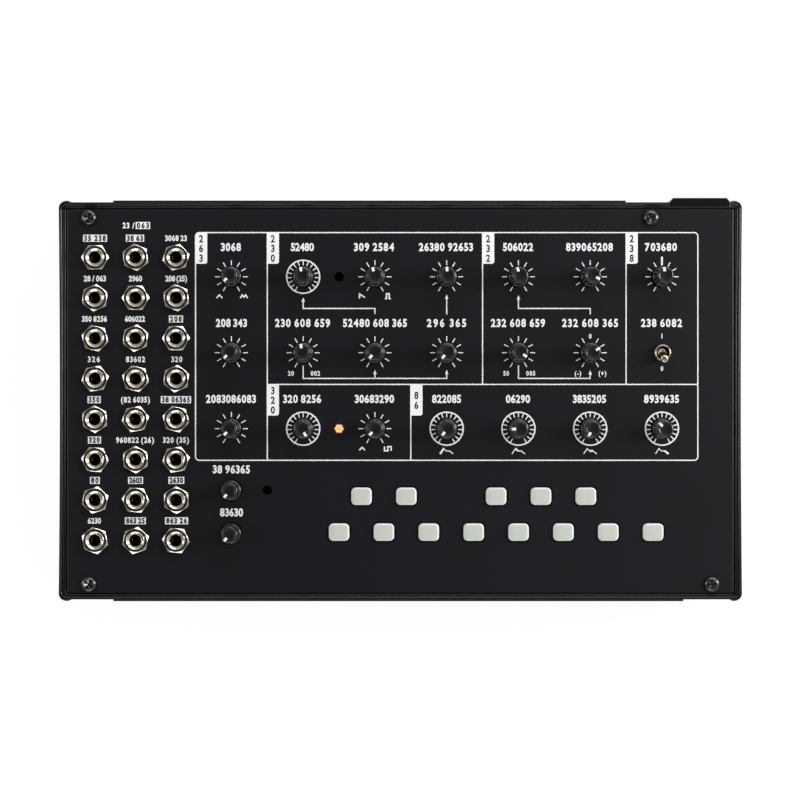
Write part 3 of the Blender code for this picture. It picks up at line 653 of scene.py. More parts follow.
@material
def black_oxide_steel(tree):
    """Machined steel with a hot black oxide: dark and oily, with lighter and darker patches."""
    patches = grain_of(tree, 0.7 * MM)
    colour = tint(tree, patches, settings().metal.black_steel, 0.7, 1.3)
    close_material(tree, colour, {"Metallic": 1.0}, patches, (0.12, 0.2), 0.006 * MM)


@material
def lit_epoxy(tree):
    """A diffused epoxy lamp that is lit: a yellow middle, six pale lobes round it and a deep red edge."""
    look = settings().controls
    here = add_node(tree, "TexCoord").outputs["Object"]
    parts = add_node(tree, "SeparateXYZ", None, {0: here})
    angle = add_node(tree, "Math", {"operation": "ARCTAN2"}, {0: parts.outputs["Y"], 1: parts.outputs["X"]})
    turns = add_node(tree, "Math", {"operation": "MULTIPLY_ADD", 1: LOBES, 2: LOBE_TURN},
                     {0: angle.outputs["Value"]})
    wave = add_node(tree, "Math", {"operation": "COSINE"}, {0: turns.outputs["Value"]})
    flat = add_node(tree, "VectorMath", {"operation": "MULTIPLY", 1: (1, 1, 0)}, {0: here})
    reach = add_node(tree, "VectorMath", {"operation": "LENGTH"}, {0: flat.outputs["Vector"]})
    pulled = add_node(tree, "Math", {"operation": "MULTIPLY_ADD", 1: -LOBE_DEPTH},
                      {0: wave.outputs["Value"], 2: reach.outputs["Value"]})
    ramp = add_node(tree, "MapRange", {"From Min": 0.0, "From Max": LED_RADIUS},
                    {"Value": pulled.outputs["Value"]})
    colours = add_node(tree, "ValToRGB", None, {"Fac": ramp.outputs["Result"]})
    stops = colours.color_ramp.elements
    stops[0].position, stops[0].color = LAMP_MIDDLE_END, (*look.lamp_colour, 1)
    stops[1].position, stops[1].color = 1.0, (*look.lamp_edge_colour, 1)
    stops.new(LAMP_LOBES_AT).color = (*look.lamp_lobe_colour, 1)
    colour = tint(tree, grain_of(tree, 0.8 * MM, 1.0), look.lamp_edge_colour, 0.8, 1.0)
    close_material(tree, colour, {"Roughness": 0.2, "IOR": 1.5, "Emission Strength": look.lamp_strength},
                   links={"Emission Color": colours.outputs["Color"]})


@material
def moulded_rubber(tree):
    """Black carbon-filled rubber: matt, dusty and slightly pitted."""
    pits = grain_of(tree, 0.5 * MM)
    colour = tint(tree, pits, to_linear("1A1A1A"), 0.8, 1.25)
    close_material(tree, colour, None, pits, (0.75, 0.9), 0.04 * MM)


@material
def solder_masked_laminate(tree):
    """Glass-epoxy board under a green solder mask: glossy, with the weave just showing."""
    # The glass cloth has a thread about every 0.5 mm
    weave = grain_of(tree, 0.5 * MM, 1.0)
    colour = tint(tree, weave, to_linear("1C3B29"), 0.85, 1.1)
    close_material(tree, colour, {"IOR": 1.5}, weave, (0.25, 0.35), 0.01 * MM)


@material
def white_table(tree):
    """A white laminate table, lit until it is pure white, that keeps the object's soft shadow."""
    colour = tint(tree, grain_of(tree, 40 * MM, 1.0), settings().studio.table, 0.99, 1.0)
    paper = add_node(tree, "BsdfDiffuse", None, {"Color": colour})
    glow = add_node(tree, "Emission", {"Strength": TABLE_GLOW})
    bright = add_node(tree, "MixShader", {"Fac": TABLE_GLOW_SHARE}, {1: paper.outputs[0], 2: glow.outputs[0]})
    path = add_node(tree, "LightPath")
    seen = path.outputs["Is Camera Ray"]
    for ray in ("Is Glossy Ray", "Is Transmission Ray"):
        seen = add_node(tree, "Math", {"operation": "MAXIMUM"}, {0: seen, 1: path.outputs[ray]}).outputs[0]
    shown = add_node(tree, "MixShader", None, {"Fac": seen, 1: paper.outputs[0], 2: bright.outputs[0]})
    add_node(tree, "OutputMaterial", None, {"Surface": shown.outputs[0]})


# Places of the jacks, from the frame
JACK_BODY_WIDTH = 9.0 * MM
JACK_COLUMNS = 3

# Where a knob points at the upper end of its turn, in degrees clockwise from the back
KNOB_END = 150


def jack_places():
    """Row, column and place of each jack, from the back left."""
    places = []
    for row, node in enumerate(jack_row_nodes):
        low, high = box_of(node)
        pitch = (high.x - low.x - JACK_BODY_WIDTH) / (JACK_COLUMNS - 1)
        for column in range(JACK_COLUMNS):
            places.append((row, column, low.x + JACK_BODY_WIDTH / 2 + column * pitch, (low.y + high.y) / 2))
    return places


def pointer_of(node):
    """Where a knob points, in degrees clockwise from the back, from the ends of its turn."""
    return KNOB_END - joints[f"{node}_turn"]["range_deg"][1]


# Small sizes of the tray
BOW_STEPS = 10
RIDGE_TILT = 50
CORNER_STEPS = 8
BOTTOM_EDGE = 0.8 * MM
BOTTOM_SOFT = BOTTOM_EDGE / 3
POST_EDGE = 0.45 * MM
POST_PROUD = 0.05 * MM
POST_ARC = (-15, 135)
POST_STEPS = 12
BAND_EDGE = 0.2 * MM
BAND_LEFT_INSET = 17.7 * MM
BACK_BAND_RIGHT_INSET = 38.4 * MM
FRONT_BAND_RIGHT_INSET = 19.1 * MM
BOSS_STEP = 0.05 * MM
BOSS_LIFT = 0.12 * MM
BOSS_EDGE = 0.35 * MM
BOSS_SOFT = 0.3 * BOSS_EDGE
MOUTH_FLARE = 0.5 * MM
SCREW_POST_WIDTH = 8.0 * MM
SCREW_POST_REACH = 3.6 * MM
SCREW_HOLE_RADIUS = 1.75 * MM


def rounded_ring(half_x, bow, centre_x, centre_y, radius, end, z):
    """A closed outline with bowed sides and round corners, with as many points for any sizes."""
    quarter = [Vector((half_x + bow * (k / BOW_STEPS) ** 2, centre_y * k / BOW_STEPS, z))
               for k in range(BOW_STEPS + 1)]
    quarter += [Vector((centre_x + radius * math.cos(end * k / CORNER_STEPS),
                        centre_y + radius * math.sin(end * k / CORNER_STEPS), z))
                for k in range(1, CORNER_STEPS + 1)]
    half = quarter + [Vector((-p.x, p.y, z)) for p in reversed(quarter)]
    return half + [Vector((-p.x, -p.y, z)) for p in half if abs(p.y) > 0]


def make_case_tray():
    look = settings().tray
    pocket_x = panel_size.x / 2 + look.panel_gap
    pocket_y = panel_size.y / 2 + look.panel_gap
    wall_y = pocket_y + look.wall
    side_x = pocket_x + look.side_wall
    corner_x = side_x + look.side_bow - look.corner_radius
    corner_y = wall_y + look.corner_proud - look.corner_radius
    own_radius = look.corner_radius - POST_PROUD
    corner_end = math.asin((wall_y - corner_y) / own_radius)

    def outer(z, distance=0.0):
        outline = rounded_ring(side_x, look.side_bow - POST_PROUD, corner_x, corner_y, own_radius,
                               corner_end, z)
        return inset(outline, distance) if distance else outline

    def inner(half_x, half_y, z, radius):
        return rounded_ring(half_x, 0.0, half_x - radius, half_y - radius, radius, math.tau / 4, z)

    def rim(z, distance):
        """The ridges' outline, whose corners are quarter rounds."""
        reach = look.corner_radius
        outline = rounded_ring(side_x, look.side_bow, corner_x, wall_y - reach, reach, math.tau / 4, z)
        return inset(outline, distance)

    corner = settings().panel.corner + look.panel_gap
    top = rim_top - RIM_DROP
    edge_top = top - look.edge_drop
    half_ridge = look.ridge_width / 2
    groove_end = look.edge_width + look.ridge_width + look.groove_width
    inner_round = look.ridge_round

    def crown(width, start, end, steps):
        """An arc that rises over the given half width, between two tilts from upright, in degrees."""
        radius = width / math.sin(math.radians(RIDGE_TILT))
        return fillet(0, top - radius, radius, 90 + start, 90 + end, steps)

    ledge_top = (panel_low - panel_high).z - SEAT_GAP
    outlines = [outer(tray_bottom, BOTTOM_EDGE)]
    outlines += [outer(tray_bottom + BOTTOM_EDGE + z, BOTTOM_EDGE - x)
                 for x, z in fillet(0, 0, BOTTOM_EDGE, -60, 0, 3)]
    outlines += [outer(z, look.edge_round - x)
                 for x, z in fillet(0, edge_top - look.edge_round, look.edge_round, 0, 90)]
    outlines += [rim(edge_top, look.edge_width)]
    outlines += [rim(z, look.edge_width + half_ridge - x)
                 for x, z in crown(half_ridge, -RIDGE_TILT, RIDGE_TILT, 8)]
    outlines += [rim(top - look.groove_depth, look.edge_width + look.ridge_width),
                 rim(top - look.groove_depth, groove_end)]
    outlines += [rim(z, groove_end + inner_round - x) for x, z in crown(inner_round, -RIDGE_TILT, 0, 4)]
    outlines += [inner(pocket_x + inner_round + x, pocket_y + inner_round + x, z, corner + inner_round + x)
                 for x, z in crown(inner_round, 0, RIDGE_TILT, 4)[1:]]
    outlines += [inner(pocket_x, pocket_y, ledge_top, corner)]
    hollow_x = pocket_x - look.ledge
    hollow_y = pocket_y - look.ledge
    outlines += [inner(hollow_x, hollow_y, ledge_top, corner),
                 inner(hollow_x, hollow_y, tray_bottom + look.floor + BOTTOM_EDGE, corner),
                 inner(hollow_x - BOTTOM_SOFT, hollow_y - BOTTOM_SOFT,
                       tray_bottom + look.floor + BOTTOM_SOFT, corner),
                 inner(hollow_x - BOTTOM_EDGE, hollow_y - BOTTOM_EDGE, tray_bottom + look.floor, corner)]
    tray = stacked(outlines)

    posts = bmesh.new()
    post_zs = (tray_bottom + look.corner_drop, rim_top - look.corner_drop)
    post_profile = fillet(look.corner_radius - POST_EDGE, post_zs[0] + POST_EDGE, POST_EDGE, -90, 0)
    post_profile += fillet(look.corner_radius - POST_EDGE, post_zs[1] - POST_EDGE, POST_EDGE, 0, 90)
    for right in (-1, 1):
        for far in (-1, 1):
            add_stack(posts, [[Vector((right * (corner_x + x), far * (corner_y + y), z))
                               for x, y in fillet(0, 0, radius, *POST_ARC, POST_STEPS)]
                              for radius, z in post_profile])

    bands = []
    band_zs = (tray_bottom + look.band_drop, rim_top - look.band_drop)
    for far, right_inset in ((1, BACK_BAND_RIGHT_INSET), (-1, FRONT_BAND_RIGHT_INSET)):
        ys = sorted((far * (wall_y - look.wall / 2), far * (wall_y + look.band_proud)))
        bands.append(((BAND_LEFT_INSET - side_x, ys[0], band_zs[0]),
                      (side_x - right_inset, ys[1], band_zs[1])))

    boss_x = middle_of("power_inlet").x
    back_reach = (tray_high - origin).y
    half, foot = look.boss_width / 2, look.boss_width / 2 + look.boss_chamfer
    boss_points = [Vector((boss_x + foot, pocket_y + BOSS_STEP, 0)), Vector((boss_x + foot, wall_y, 0)),
                   Vector((boss_x + half, back_reach, 0)), Vector((boss_x - half, back_reach, 0)),
                   Vector((boss_x - foot, wall_y, 0)), Vector((boss_x - foot, pocket_y + BOSS_STEP, 0))]
    boss_bottom = tray_bottom + BOSS_LIFT
    boss = stacked([at_height(inset(boss_points, BOSS_EDGE), boss_bottom),
                    at_height(boss_points, boss_bottom + BOSS_EDGE),
                    at_height(boss_points, rim_top - BOSS_EDGE),
                    at_height(inset(boss_points, BOSS_SOFT), rim_top - BOSS_SOFT),
                    at_height(inset(boss_points, BOSS_EDGE), rim_top)])

    inlet_low, inlet_high = box_of("power_inlet")
    lie = Matrix.Translation((boss_x, 0, (inlet_low.z + inlet_high.z) / 2)) @ Matrix.Rotation(
        math.radians(-90), 4, "X")
    mouth = turned([(0, hollow_y - OVERRUN), (look.mouth_radius, hollow_y - OVERRUN),
                    (look.mouth_radius, back_reach - MOUTH_FLARE),
                    (look.mouth_radius + MOUTH_FLARE + OVERRUN, back_reach + OVERRUN),
                    (0, back_reach + OVERRUN)], ROUND, lie)

    screw_posts = []
    holes = bmesh.new()
    for node in screw_nodes:
        spot = middle_of(node)
        wall_side = math.copysign(hollow_y + look.ledge / 2, spot.y)
        inner_side = spot.y - math.copysign(SCREW_POST_REACH, spot.y)
        low_y, high_y = sorted((wall_side, inner_side))
        screw_posts.append(((spot.x - SCREW_POST_WIDTH / 2, low_y, tray_bottom + look.floor / 2),
                            (spot.x + SCREW_POST_WIDTH / 2, high_y, ledge_top - RIM_DROP)))
        add_stack(holes, [circle(spot.x, spot.y, SCREW_HOLE_RADIUS, SMALL_ROUND, z)
                          for z in (box_of(node)[0].z - OVERRUN, rim_top)])
    steps = [("UNION", posts), ("UNION", soft_boxes(BAND_EDGE, *bands)), ("UNION", boss),
             ("UNION", soft_boxes(BAND_EDGE, *screw_posts)), ("DIFFERENCE", holes), ("DIFFERENCE", mouth)]
    mesh = mesh_by_steps("case_tray_shell", tray, steps, spark_textured_abs())
    place_piece("case_tray_shell", mesh, replaces=["case_tray"])


class SYNTH_OT_case_tray(bpy.types.Operator):
    """Make the moulded tray, with its ridged rim, corner posts, bands and inlet boss"""
    bl_idname = "synth.case_tray"
    bl_label = "Case Tray"

    def execute(self, context):
        make_case_tray()
        return {"FINISHED"}


# Small sizes of the panel
LONG_EDGE_BEVEL_SHARE = 0.3
JACK_HOLE_RADIUS = 3.3 * MM
KNOB_HOLE_GAP = 0.45 * MM
KEY_WIDTH = 6.85 * MM
KEY_DEPTH = 5.8 * MM
KEY_GAP = 0.5 * MM
TRIMMER_HOLE_RADIUS = 1.6 * MM
LED_HOLE_RADIUS = 1.6 * MM
TOGGLE_HOLE_RADIUS = 3.0 * MM


def make_front_panel():
    look = settings().panel

    def round_hole(x, y, radius, count=ROUND):
        return lambda grow: circle(x, y, radius + grow, count)

    def window(x, y, width, depth, corner):
        return lambda grow: round_rectangle(x, y, width + 2 * grow, depth + 2 * grow, corner + grow)

    loops = [lambda grow: round_rectangle(
        0, 0, panel_size.x + 2 * grow, panel_size.y + 2 * LONG_EDGE_BEVEL_SHARE * grow, look.corner + grow)]
    for _, _, x, y in jack_places():
        loops.append(round_hole(x, y, JACK_HOLE_RADIUS))
    for node in knob_nodes:
        low, high = box_of(node)
        loops.append(round_hole(*middle_of(node).xy, (high.x - low.x) / 2 + KNOB_HOLE_GAP))
    for node in key_nodes:
        spot = middle_of(node)
        loops.append(window(spot.x, spot.y, KEY_WIDTH + 2 * KEY_GAP, KEY_DEPTH + 2 * KEY_GAP,
                            settings().controls.key_corner + KEY_GAP))
    for node in screw_nodes:
        loops.append(round_hole(*middle_of(node).xy, SCREW_HOLE_RADIUS, SMALL_ROUND))
    for node in trimmer_nodes:
        loops.append(round_hole(*middle_of(node).xy, TRIMMER_HOLE_RADIUS))
    loops.append(round_hole(*middle_of("led").xy, LED_HOLE_RADIUS))
    loops.append(round_hole(*middle_of("toggle_body").xy, TOGGLE_HOLE_RADIUS))
    depth = -panel_size.z
    edge = [(z, x - look.edge_bevel, 0) for x, z in fillet(0, -look.edge_bevel, look.edge_bevel, 0, 75)]
    plate = pierced_plate(loops, [(depth, 0, 0)] + edge + [(0, -look.edge_bevel, look.hole_bevel)])
    mesh = finish_mesh("front_panel_plate", plate, powder_coated_aluminium())
    place_piece("front_panel_plate", mesh, replaces=["front_panel"])


class SYNTH_OT_front_panel(bpy.types.Operator):
    """Make the coated panel with all its holes"""
    bl_idname = "synth.front_panel"
    bl_label = "Front Panel"

    def execute(self, context):
        make_front_panel()
        return {"FINISHED"}


# Printed section lines, from the left edge to the right and from the back to the front
FRAME_LEFT = -68.5 * MM
FRAME_RIGHT = 99.5 * MM
FRAME_BACK = 56.27 * MM
FRAME_MIDDLE = 5.5 * MM
FRAME_FRONT = -19.88 * MM
FRAME_CORNER = 1.2 * MM
DIVIDERS = ((-44.5 * MM, FRAME_BACK, FRAME_FRONT), (27.5 * MM, FRAME_BACK, FRAME_MIDDLE),
            (75.5 * MM, FRAME_BACK, FRAME_MIDDLE), (3.5 * MM, FRAME_MIDDLE, FRAME_FRONT))
TAB_WIDTH = 4.1 * MM
TAB_HEIGHT = 10.6 * MM
TAB_CORNER = 0.8 * MM
TABS = ((FRAME_LEFT, FRAME_BACK, "263"), (-44.5 * MM, FRAME_BACK, "230"), (27.5 * MM, FRAME_BACK, "232"),
        (75.5 * MM, FRAME_BACK, "238"), (-44.5 * MM, FRAME_MIDDLE, "320"), (3.5 * MM, FRAME_MIDDLE, "86"))
TAB_FIGURE = 2.5 * MM
TAB_PITCH = 3.25 * MM

# Dials: ticks in degrees from the back, and which knobs have the ringed kind
DIAL_END = 150.0
PLAIN_TICKS = 11
RINGED_TICKS = 17
RINGED_DIALS = ("knob_r1_c2", "knob_r3_c2", "knob_r3_c4", "knob_r3_c5", "knob_r3_c6", "knob_r3_c7")
LONG_TICK_DIAL = "knob_r1_c7"
LONG_TICK_END = 6.7 * MM
LONG_TICK_WIDTH = 0.62 * MM
CENTRE_DIAL = "knob_r2_c6"

# Figures over the knobs, with their left and right ends from the knob's axis in millimetres
KNOB_FIGURES = {
    "knob_r1_c1": ("3068", -3.5, 3.2), "knob_r1_c2": ("52480", -4.1, 3.6),
    "knob_r1_c3": ("309 2584", -7.0, 6.4), "knob_r1_c4": ("26380 92653", -9.3, 8.8),
    "knob_r1_c5": ("506022", -5.2, 4.9),
    "knob_r1_c6": ("839065208", -8.1, 7.6), "knob_r1_c7": ("703680", -5.7, 5.0),
    "knob_r2_c1": ("208 343", -5.2, 5.2), "knob_r2_c2": ("230 608 659", -9.4, 9.0),
    "knob_r2_c3": ("52480 608 365", -10.7, 10.7), "knob_r2_c4": ("296 365", -6.6, 6.5),
    "knob_r2_c5": ("232 608 659", -9.2, 8.9), "knob_r2_c6": ("232 608 365", -9.4, 9.3),
    "knob_r3_c1": ("2083086083", -8.5, 8.2), "knob_r3_c2": ("320 8256", -6.7, 6.0),
    "knob_r3_c3": ("30683290", -6.7, 6.4), "knob_r3_c4": ("822085", -4.9, 4.8),
    "knob_r3_c5": ("06290", -4.2, 3.9), "knob_r3_c6": ("3835205", -5.8, 5.3),
    "knob_r3_c7": ("8939635", -6.0, 5.7), "knob_lower_1": ("38 96365", -6.2, 6.2),
    "knob_lower_2": ("83630", -3.8, 3.9),
}
TOGGLE_FIGURES = ("238 6082", -7.0, 6.7)
LABEL_OVER_KNOB = 9.95 * MM
LABEL_OVER_LOWER_KNOB = 7.0 * MM
LABEL_OVER_TOGGLE = 9.95 * MM
SMALL_FIGURE = 1.6 * MM
TOGGLE_FIGURE_OFFSETS = ((5.6 * MM, "1"), (-5.35 * MM, "0"))
SIDE_FIGURES = (("knob_r2_c2", "20", "002"), ("knob_r2_c5", "50", "005"), (CENTRE_DIAL, "(-)", "(+)"))
SIDE_FIGURE_X = 4.1 * MM
SIDE_FIGURE_DROP = 6.9 * MM

# Figures over the jacks, row by row from the back, with their ends from the jack's axis in millimetres;
# a star marks a white plate, whose ends these are
JACK_FIGURES = (
    (("*35 238", -4.2, 3.8), ("*38 63", -3.4, 2.7), ("3068 23", -3.8, 3.5)),
    (("28 / 063", -3.9, 3.5), ("2960", -2.4, 2.0), ("208 (25)", -3.8, 3.5)),
    (("350 8256", -4.6, 3.8), ("606022", -3.7, 3.0), ("*208", -2.5, 2.2)),
    (("326", -2.6, 1.4), ("83602", -3.4, 3.0), ("320", -1.8, 1.9)),
    (("*350", -2.6, 1.8), ("(82 6035)", -5.0, 4.7), ("*38 06365", -5.2, 4.9)),
    (("*320", -2.6, 1.8), ("960822 (26)", -6.7, 6.0), ("320 (35)", -4.5, 4.2)),
    (("*80", -1.9, 1.4), ("*2603", -2.7, 2.3), ("*2630", -2.8, 2.5)),
    (("6230", -2.6, 1.8), ("*863 25", -3.7, 3.3), ("*863 26", -3.8, 3.9)),
)
LABEL_OVER_JACK = 6.5 * MM
PLATE_MARGIN = 0.35 * MM
PLATE_HEIGHT = 2.35 * MM
HEADING_RISE = 10.75 * MM
HEADING = (("23 /", -4.5, -0.5), ("*063", -0.1, 4.7))

# Arrows: the points of each line, ending in its tip
ARROWS = (
    ((-8.5, 29.05), (-8.5, 30.9), (-32.5, 30.9), (-32.5, 34.6)),
    ((15.5, 28.9), (15.5, 35.6)),
    ((-32.5, 11.75), (-32.5, 7.5), (15.5, 7.5), (15.5, 10.4)),
    ((-8.5, 7.5), (-8.5, 10.4)),
    ((63.5, 28.85), (63.5, 30.9), (39.5, 30.9), (39.5, 35.4)),
    ((39.5, 11.9), (39.5, 7.5), (63.5, 7.5), (63.5, 10.3)),
)
ARROW_HEAD_LENGTH = 1.5 * MM
ARROW_HEAD_WIDTH = 1.15 * MM

# Small wave marks beside dials: the place of the middle and the line, in millimetres
WAVE_MARKS = (
    (-60.5, 34.9, ((-0.95, -0.5), (0.0, 0.55), (0.95, -0.5))),
    (-52.3, 34.9, ((-1.15, -0.5), (-0.6, 0.55), (0.0, -0.2), (0.6, 0.55), (1.15, -0.5))),
    (-12.8, 35.0, ((-0.85, -0.75), (-0.85, 0.75), (0.95, -0.45))),
    (-4.2, 35.0, ((-1.0, -0.8), (-0.45, -0.8), (-0.45, 0.8), (0.45, 0.8), (0.45, -0.8), (1.0, -0.8))),
    (-12.8, -16.0, ((-0.9, -0.5), (0.0, 0.5), (0.9, -0.5))),
    (-4.2, -16.0, ((-1.1, 0.7), (-1.1, -0.7), (0.0, -0.7), (0.0, 0.7), (1.1, 0.7), (1.1, -0.7))),
)
WAVE_WIDTH = 0.45 * MM

# Envelope marks under the four ringed dials at the right: rise, fall, level and release, in millimetres
ENVELOPE = ((-2.2, -0.9), (-1.0, 0.9), (-0.2, 0.1), (0.9, 0.1), (2.2, -0.9))
ENVELOPE_DIALS = ("knob_r3_c4", "knob_r3_c5", "knob_r3_c6", "knob_r3_c7")
ENVELOPE_DROP = 7.55 * MM
ENVELOPE_LINE = 0.32 * MM
ENVELOPE_BOLD = 0.62 * MM

# How high a print reaches where it crosses another, in layers of ink, so that no two tops lie level
DIVIDER_LAYER = 0.97
CROSS_LAYER = 0.94
TAB_LAYER = 1.03
TICK_LAYER = 0.95
HEAD_LAYER = 1.04
ENVELOPE_LAYER = 0.9
# The dark ink starts inside the white layer and ends over it
OVER_LAYER = (0.5, 1.6)

# With finer curves or more added weight some outlines fold over themselves, as a nine does at the dark weight
FIGURE_STEPS = 3

# The figures' cut, in shares of their height
FIGURE_CAP = 0.69
WHITE_WEIGHT = 0.035
DARK_WEIGHT = 0.055
TAB_WEIGHT = 0.03
FIGURE_SPACE = 0.13
WORD_SPACE = 0.32


class Figures:
    """Digits and a few signs in a bold condensed cut, as meshes of height one that are made once."""

    def __init__(self, weight):
        self.weight = weight
        self.made = {}

    def glyph(self, letter):
        """The mesh of a sign, upright on its left edge, and its width, for a cap height of one."""
        if letter in self.made:
            return self.made[letter]
        curve = bpy.data.curves.new("figure", "FONT")
        curve.body = letter
        curve.offset = self.weight
        curve.resolution_u = FIGURE_STEPS
        text = bpy.data.objects.new("figure", curve)
        bpy.context.scene.collection.objects.link(text)
        bpy.context.view_layer.update()
        mesh = bpy.data.meshes.new_from_object(text.evaluated_get(bpy.context.evaluated_depsgraph_get()))
        bpy.data.objects.remove(text)
        bpy.data.curves.remove(curve)
        xs = [vertex.co.x for vertex in mesh.vertices]
        shift = Matrix.Translation((-min(xs), self.weight, 0))
        squeeze = settings().panel.figure_width
        cap = FIGURE_CAP + 2 * self.weight
        mesh.transform(Matrix.Diagonal((squeeze / cap, 1 / cap, 1, 1)) @ shift)
        self.made[letter] = mesh, (max(xs) - min(xs)) * squeeze / cap
        return self.made[letter]

    def width(self, words, height):
        spaces = words.count(" ")
        letters = words.replace(" ", "")
        return height * (sum(self.glyph(letter)[1] for letter in letters)
                         + FIGURE_SPACE * (len(letters) - 1) + WORD_SPACE * spaces)

    def add(self, shape, words, x, y, height, zs, ends=None):
        """The words as thin raised print, centred on x, y or spread between two ends that count from x."""
        slack = 0.0
        left = x - self.width(words, height) / 2
        if ends:
            left = x + ends[0]
            slack = (ends[1] - ends[0] - self.width(words, height)) / (len(words) - 1)
        for letter in words:
            if letter == " ":
                left += WORD_SPACE * height + slack
                continue
            mesh, width = self.glyph(letter)
            part = bmesh.new()
            part.from_mesh(mesh)
            bmesh.ops.transform(part, verts=part.verts, matrix=Matrix.Translation(
                (left, y - height / 2, zs[0])) @ Matrix.Scale(height, 4))
            raised = bmesh.ops.extrude_face_region(part, geom=part.faces[:], use_keep_orig=True)["geom"]
            bmesh.ops.translate(part, verts=[v for v in raised if isinstance(v, bmesh.types.BMVert)],
                                vec=(0, 0, zs[1] - zs[0]))
            bmesh.ops.recalc_face_normals(part, faces=part.faces[:])
            copy = bpy.data.meshes.new("figure_copy")
            part.to_mesh(copy)
            part.free()
            shape.from_mesh(copy)
            bpy.data.meshes.remove(copy)
            left += (width + FIGURE_SPACE) * height + slack


def add_tick(shape, x, y, radii, angle, width, zs):
    """One tick of a dial, which points at the angle, in degrees clockwise from the back."""
    turn = math.radians(angle)
    ends = [(x + radius * math.sin(turn), y + radius * math.cos(turn)) for radius in radii]
    add_stroke(shape, ends, width, zs)


def print_piece(name, shape, finish):
    place_piece(name, finish_mesh(name, shape, finish))


def print_lines(look, zs):
    lines = bmesh.new()
    frame_outline = round_rectangle((FRAME_LEFT + FRAME_RIGHT) / 2, (FRAME_BACK + FRAME_FRONT) / 2,
                                    FRAME_RIGHT - FRAME_LEFT, FRAME_BACK - FRAME_FRONT, FRAME_CORNER)
    add_stroke(lines, [point.xy for point in frame_outline], look.line_width, zs, loop=True)
    for x, back, front in DIVIDERS:
        add_stroke(lines, ((x, back), (x, front)), look.line_width, (zs[0], zs[1] * DIVIDER_LAYER))
    add_stroke(lines, ((DIVIDERS[0][0], FRAME_MIDDLE), (FRAME_RIGHT, FRAME_MIDDLE)), look.line_width,
               (zs[0], zs[1] * CROSS_LAYER))
    for k, (x, y, _) in enumerate(TABS):
        half = look.line_width / 2
        left, right = x - half, x - half + TAB_WIDTH
        high, low = y + half, y + half - TAB_HEIGHT
        middle = ((left + right) / 2, (high + low) / 2)
        soft = [point for point in round_rectangle(*middle, TAB_WIDTH, TAB_HEIGHT, TAB_CORNER)
                if point.x > middle[0] and point.y < middle[1]]
        first = [Vector((left, high, 0))]
        if k == 0:
            first = [point for point in round_rectangle(*middle, TAB_WIDTH, TAB_HEIGHT, FRAME_CORNER + half)
                     if point.x < middle[0] and point.y > middle[1]]
        add_slab(lines, [Vector((right, high, 0))] + first + [Vector((left, low, 0))] + soft,
                 (zs[0], zs[1] * TAB_LAYER))
    print_piece("printed_section_lines", lines, white_screen_ink())


def print_dials(look, zs):
    dials = bmesh.new()
    for node in knob_nodes:
        if "lower" in node:
            continue
        x, y = middle_of(node).xy
        ringed = node in RINGED_DIALS
        if ringed:
            outline = circle(x, y, look.ring_radius, ROUND * 2)
            add_stroke(dials, [point.xy for point in outline], look.ring_width, zs, loop=True)
        count = RINGED_TICKS if ringed else PLAIN_TICKS
        radii = (look.tick_radius, look.ring_radius)
        for k in range(count):
            angle = -DIAL_END + 2 * DIAL_END * k / (count - 1)
            top = abs(angle) < 1
            if top and node == CENTRE_DIAL:
                continue
            if top and node == LONG_TICK_DIAL:
                add_tick(dials, x, y, (radii[0], LONG_TICK_END), angle, LONG_TICK_WIDTH, zs)
                continue
            add_tick(dials, x, y, radii, angle, look.tick_width, (zs[0], zs[1] * TICK_LAYER))
    print_piece("printed_dials", dials, white_screen_ink())


def print_arrows(look, zs):
    arrows = bmesh.new()
    for points in ARROWS:
        points = [Vector((x * MM, y * MM)) for x, y in points]
        tip = points[-1]
        forward = (tip - points[-2]).normalized()
        side = Vector((-forward.y, forward.x)) * ARROW_HEAD_WIDTH / 2
        back = tip - forward * ARROW_HEAD_LENGTH
        add_stroke(arrows, [point.xy for point in points[:-1]] + [back.xy + forward * zs[1]],
                   look.arrow_width, zs)
        add_slab(arrows, (tip, back + side, back - side), (zs[0], zs[1] * HEAD_LAYER))
    print_piece("printed_arrows", arrows, white_screen_ink())


def print_waves(look, zs):
    marks = bmesh.new()
    for x, y, line in WAVE_MARKS:
        add_stroke(marks, [((x + dx) * MM, (y + dy) * MM) for dx, dy in line], WAVE_WIDTH, zs)
    for bold, node in enumerate(ENVELOPE_DIALS):
        x, y = middle_of(node).xy
        points = [(x + dx * MM, y - ENVELOPE_DROP + dy * MM) for dx, dy in ENVELOPE]
        add_stroke(marks, points, ENVELOPE_LINE, (zs[0], zs[1] * ENVELOPE_LAYER))
        add_stroke(marks, points[bold:bold + 2], ENVELOPE_BOLD, zs)
    print_piece("printed_wave_marks", marks, white_screen_ink())


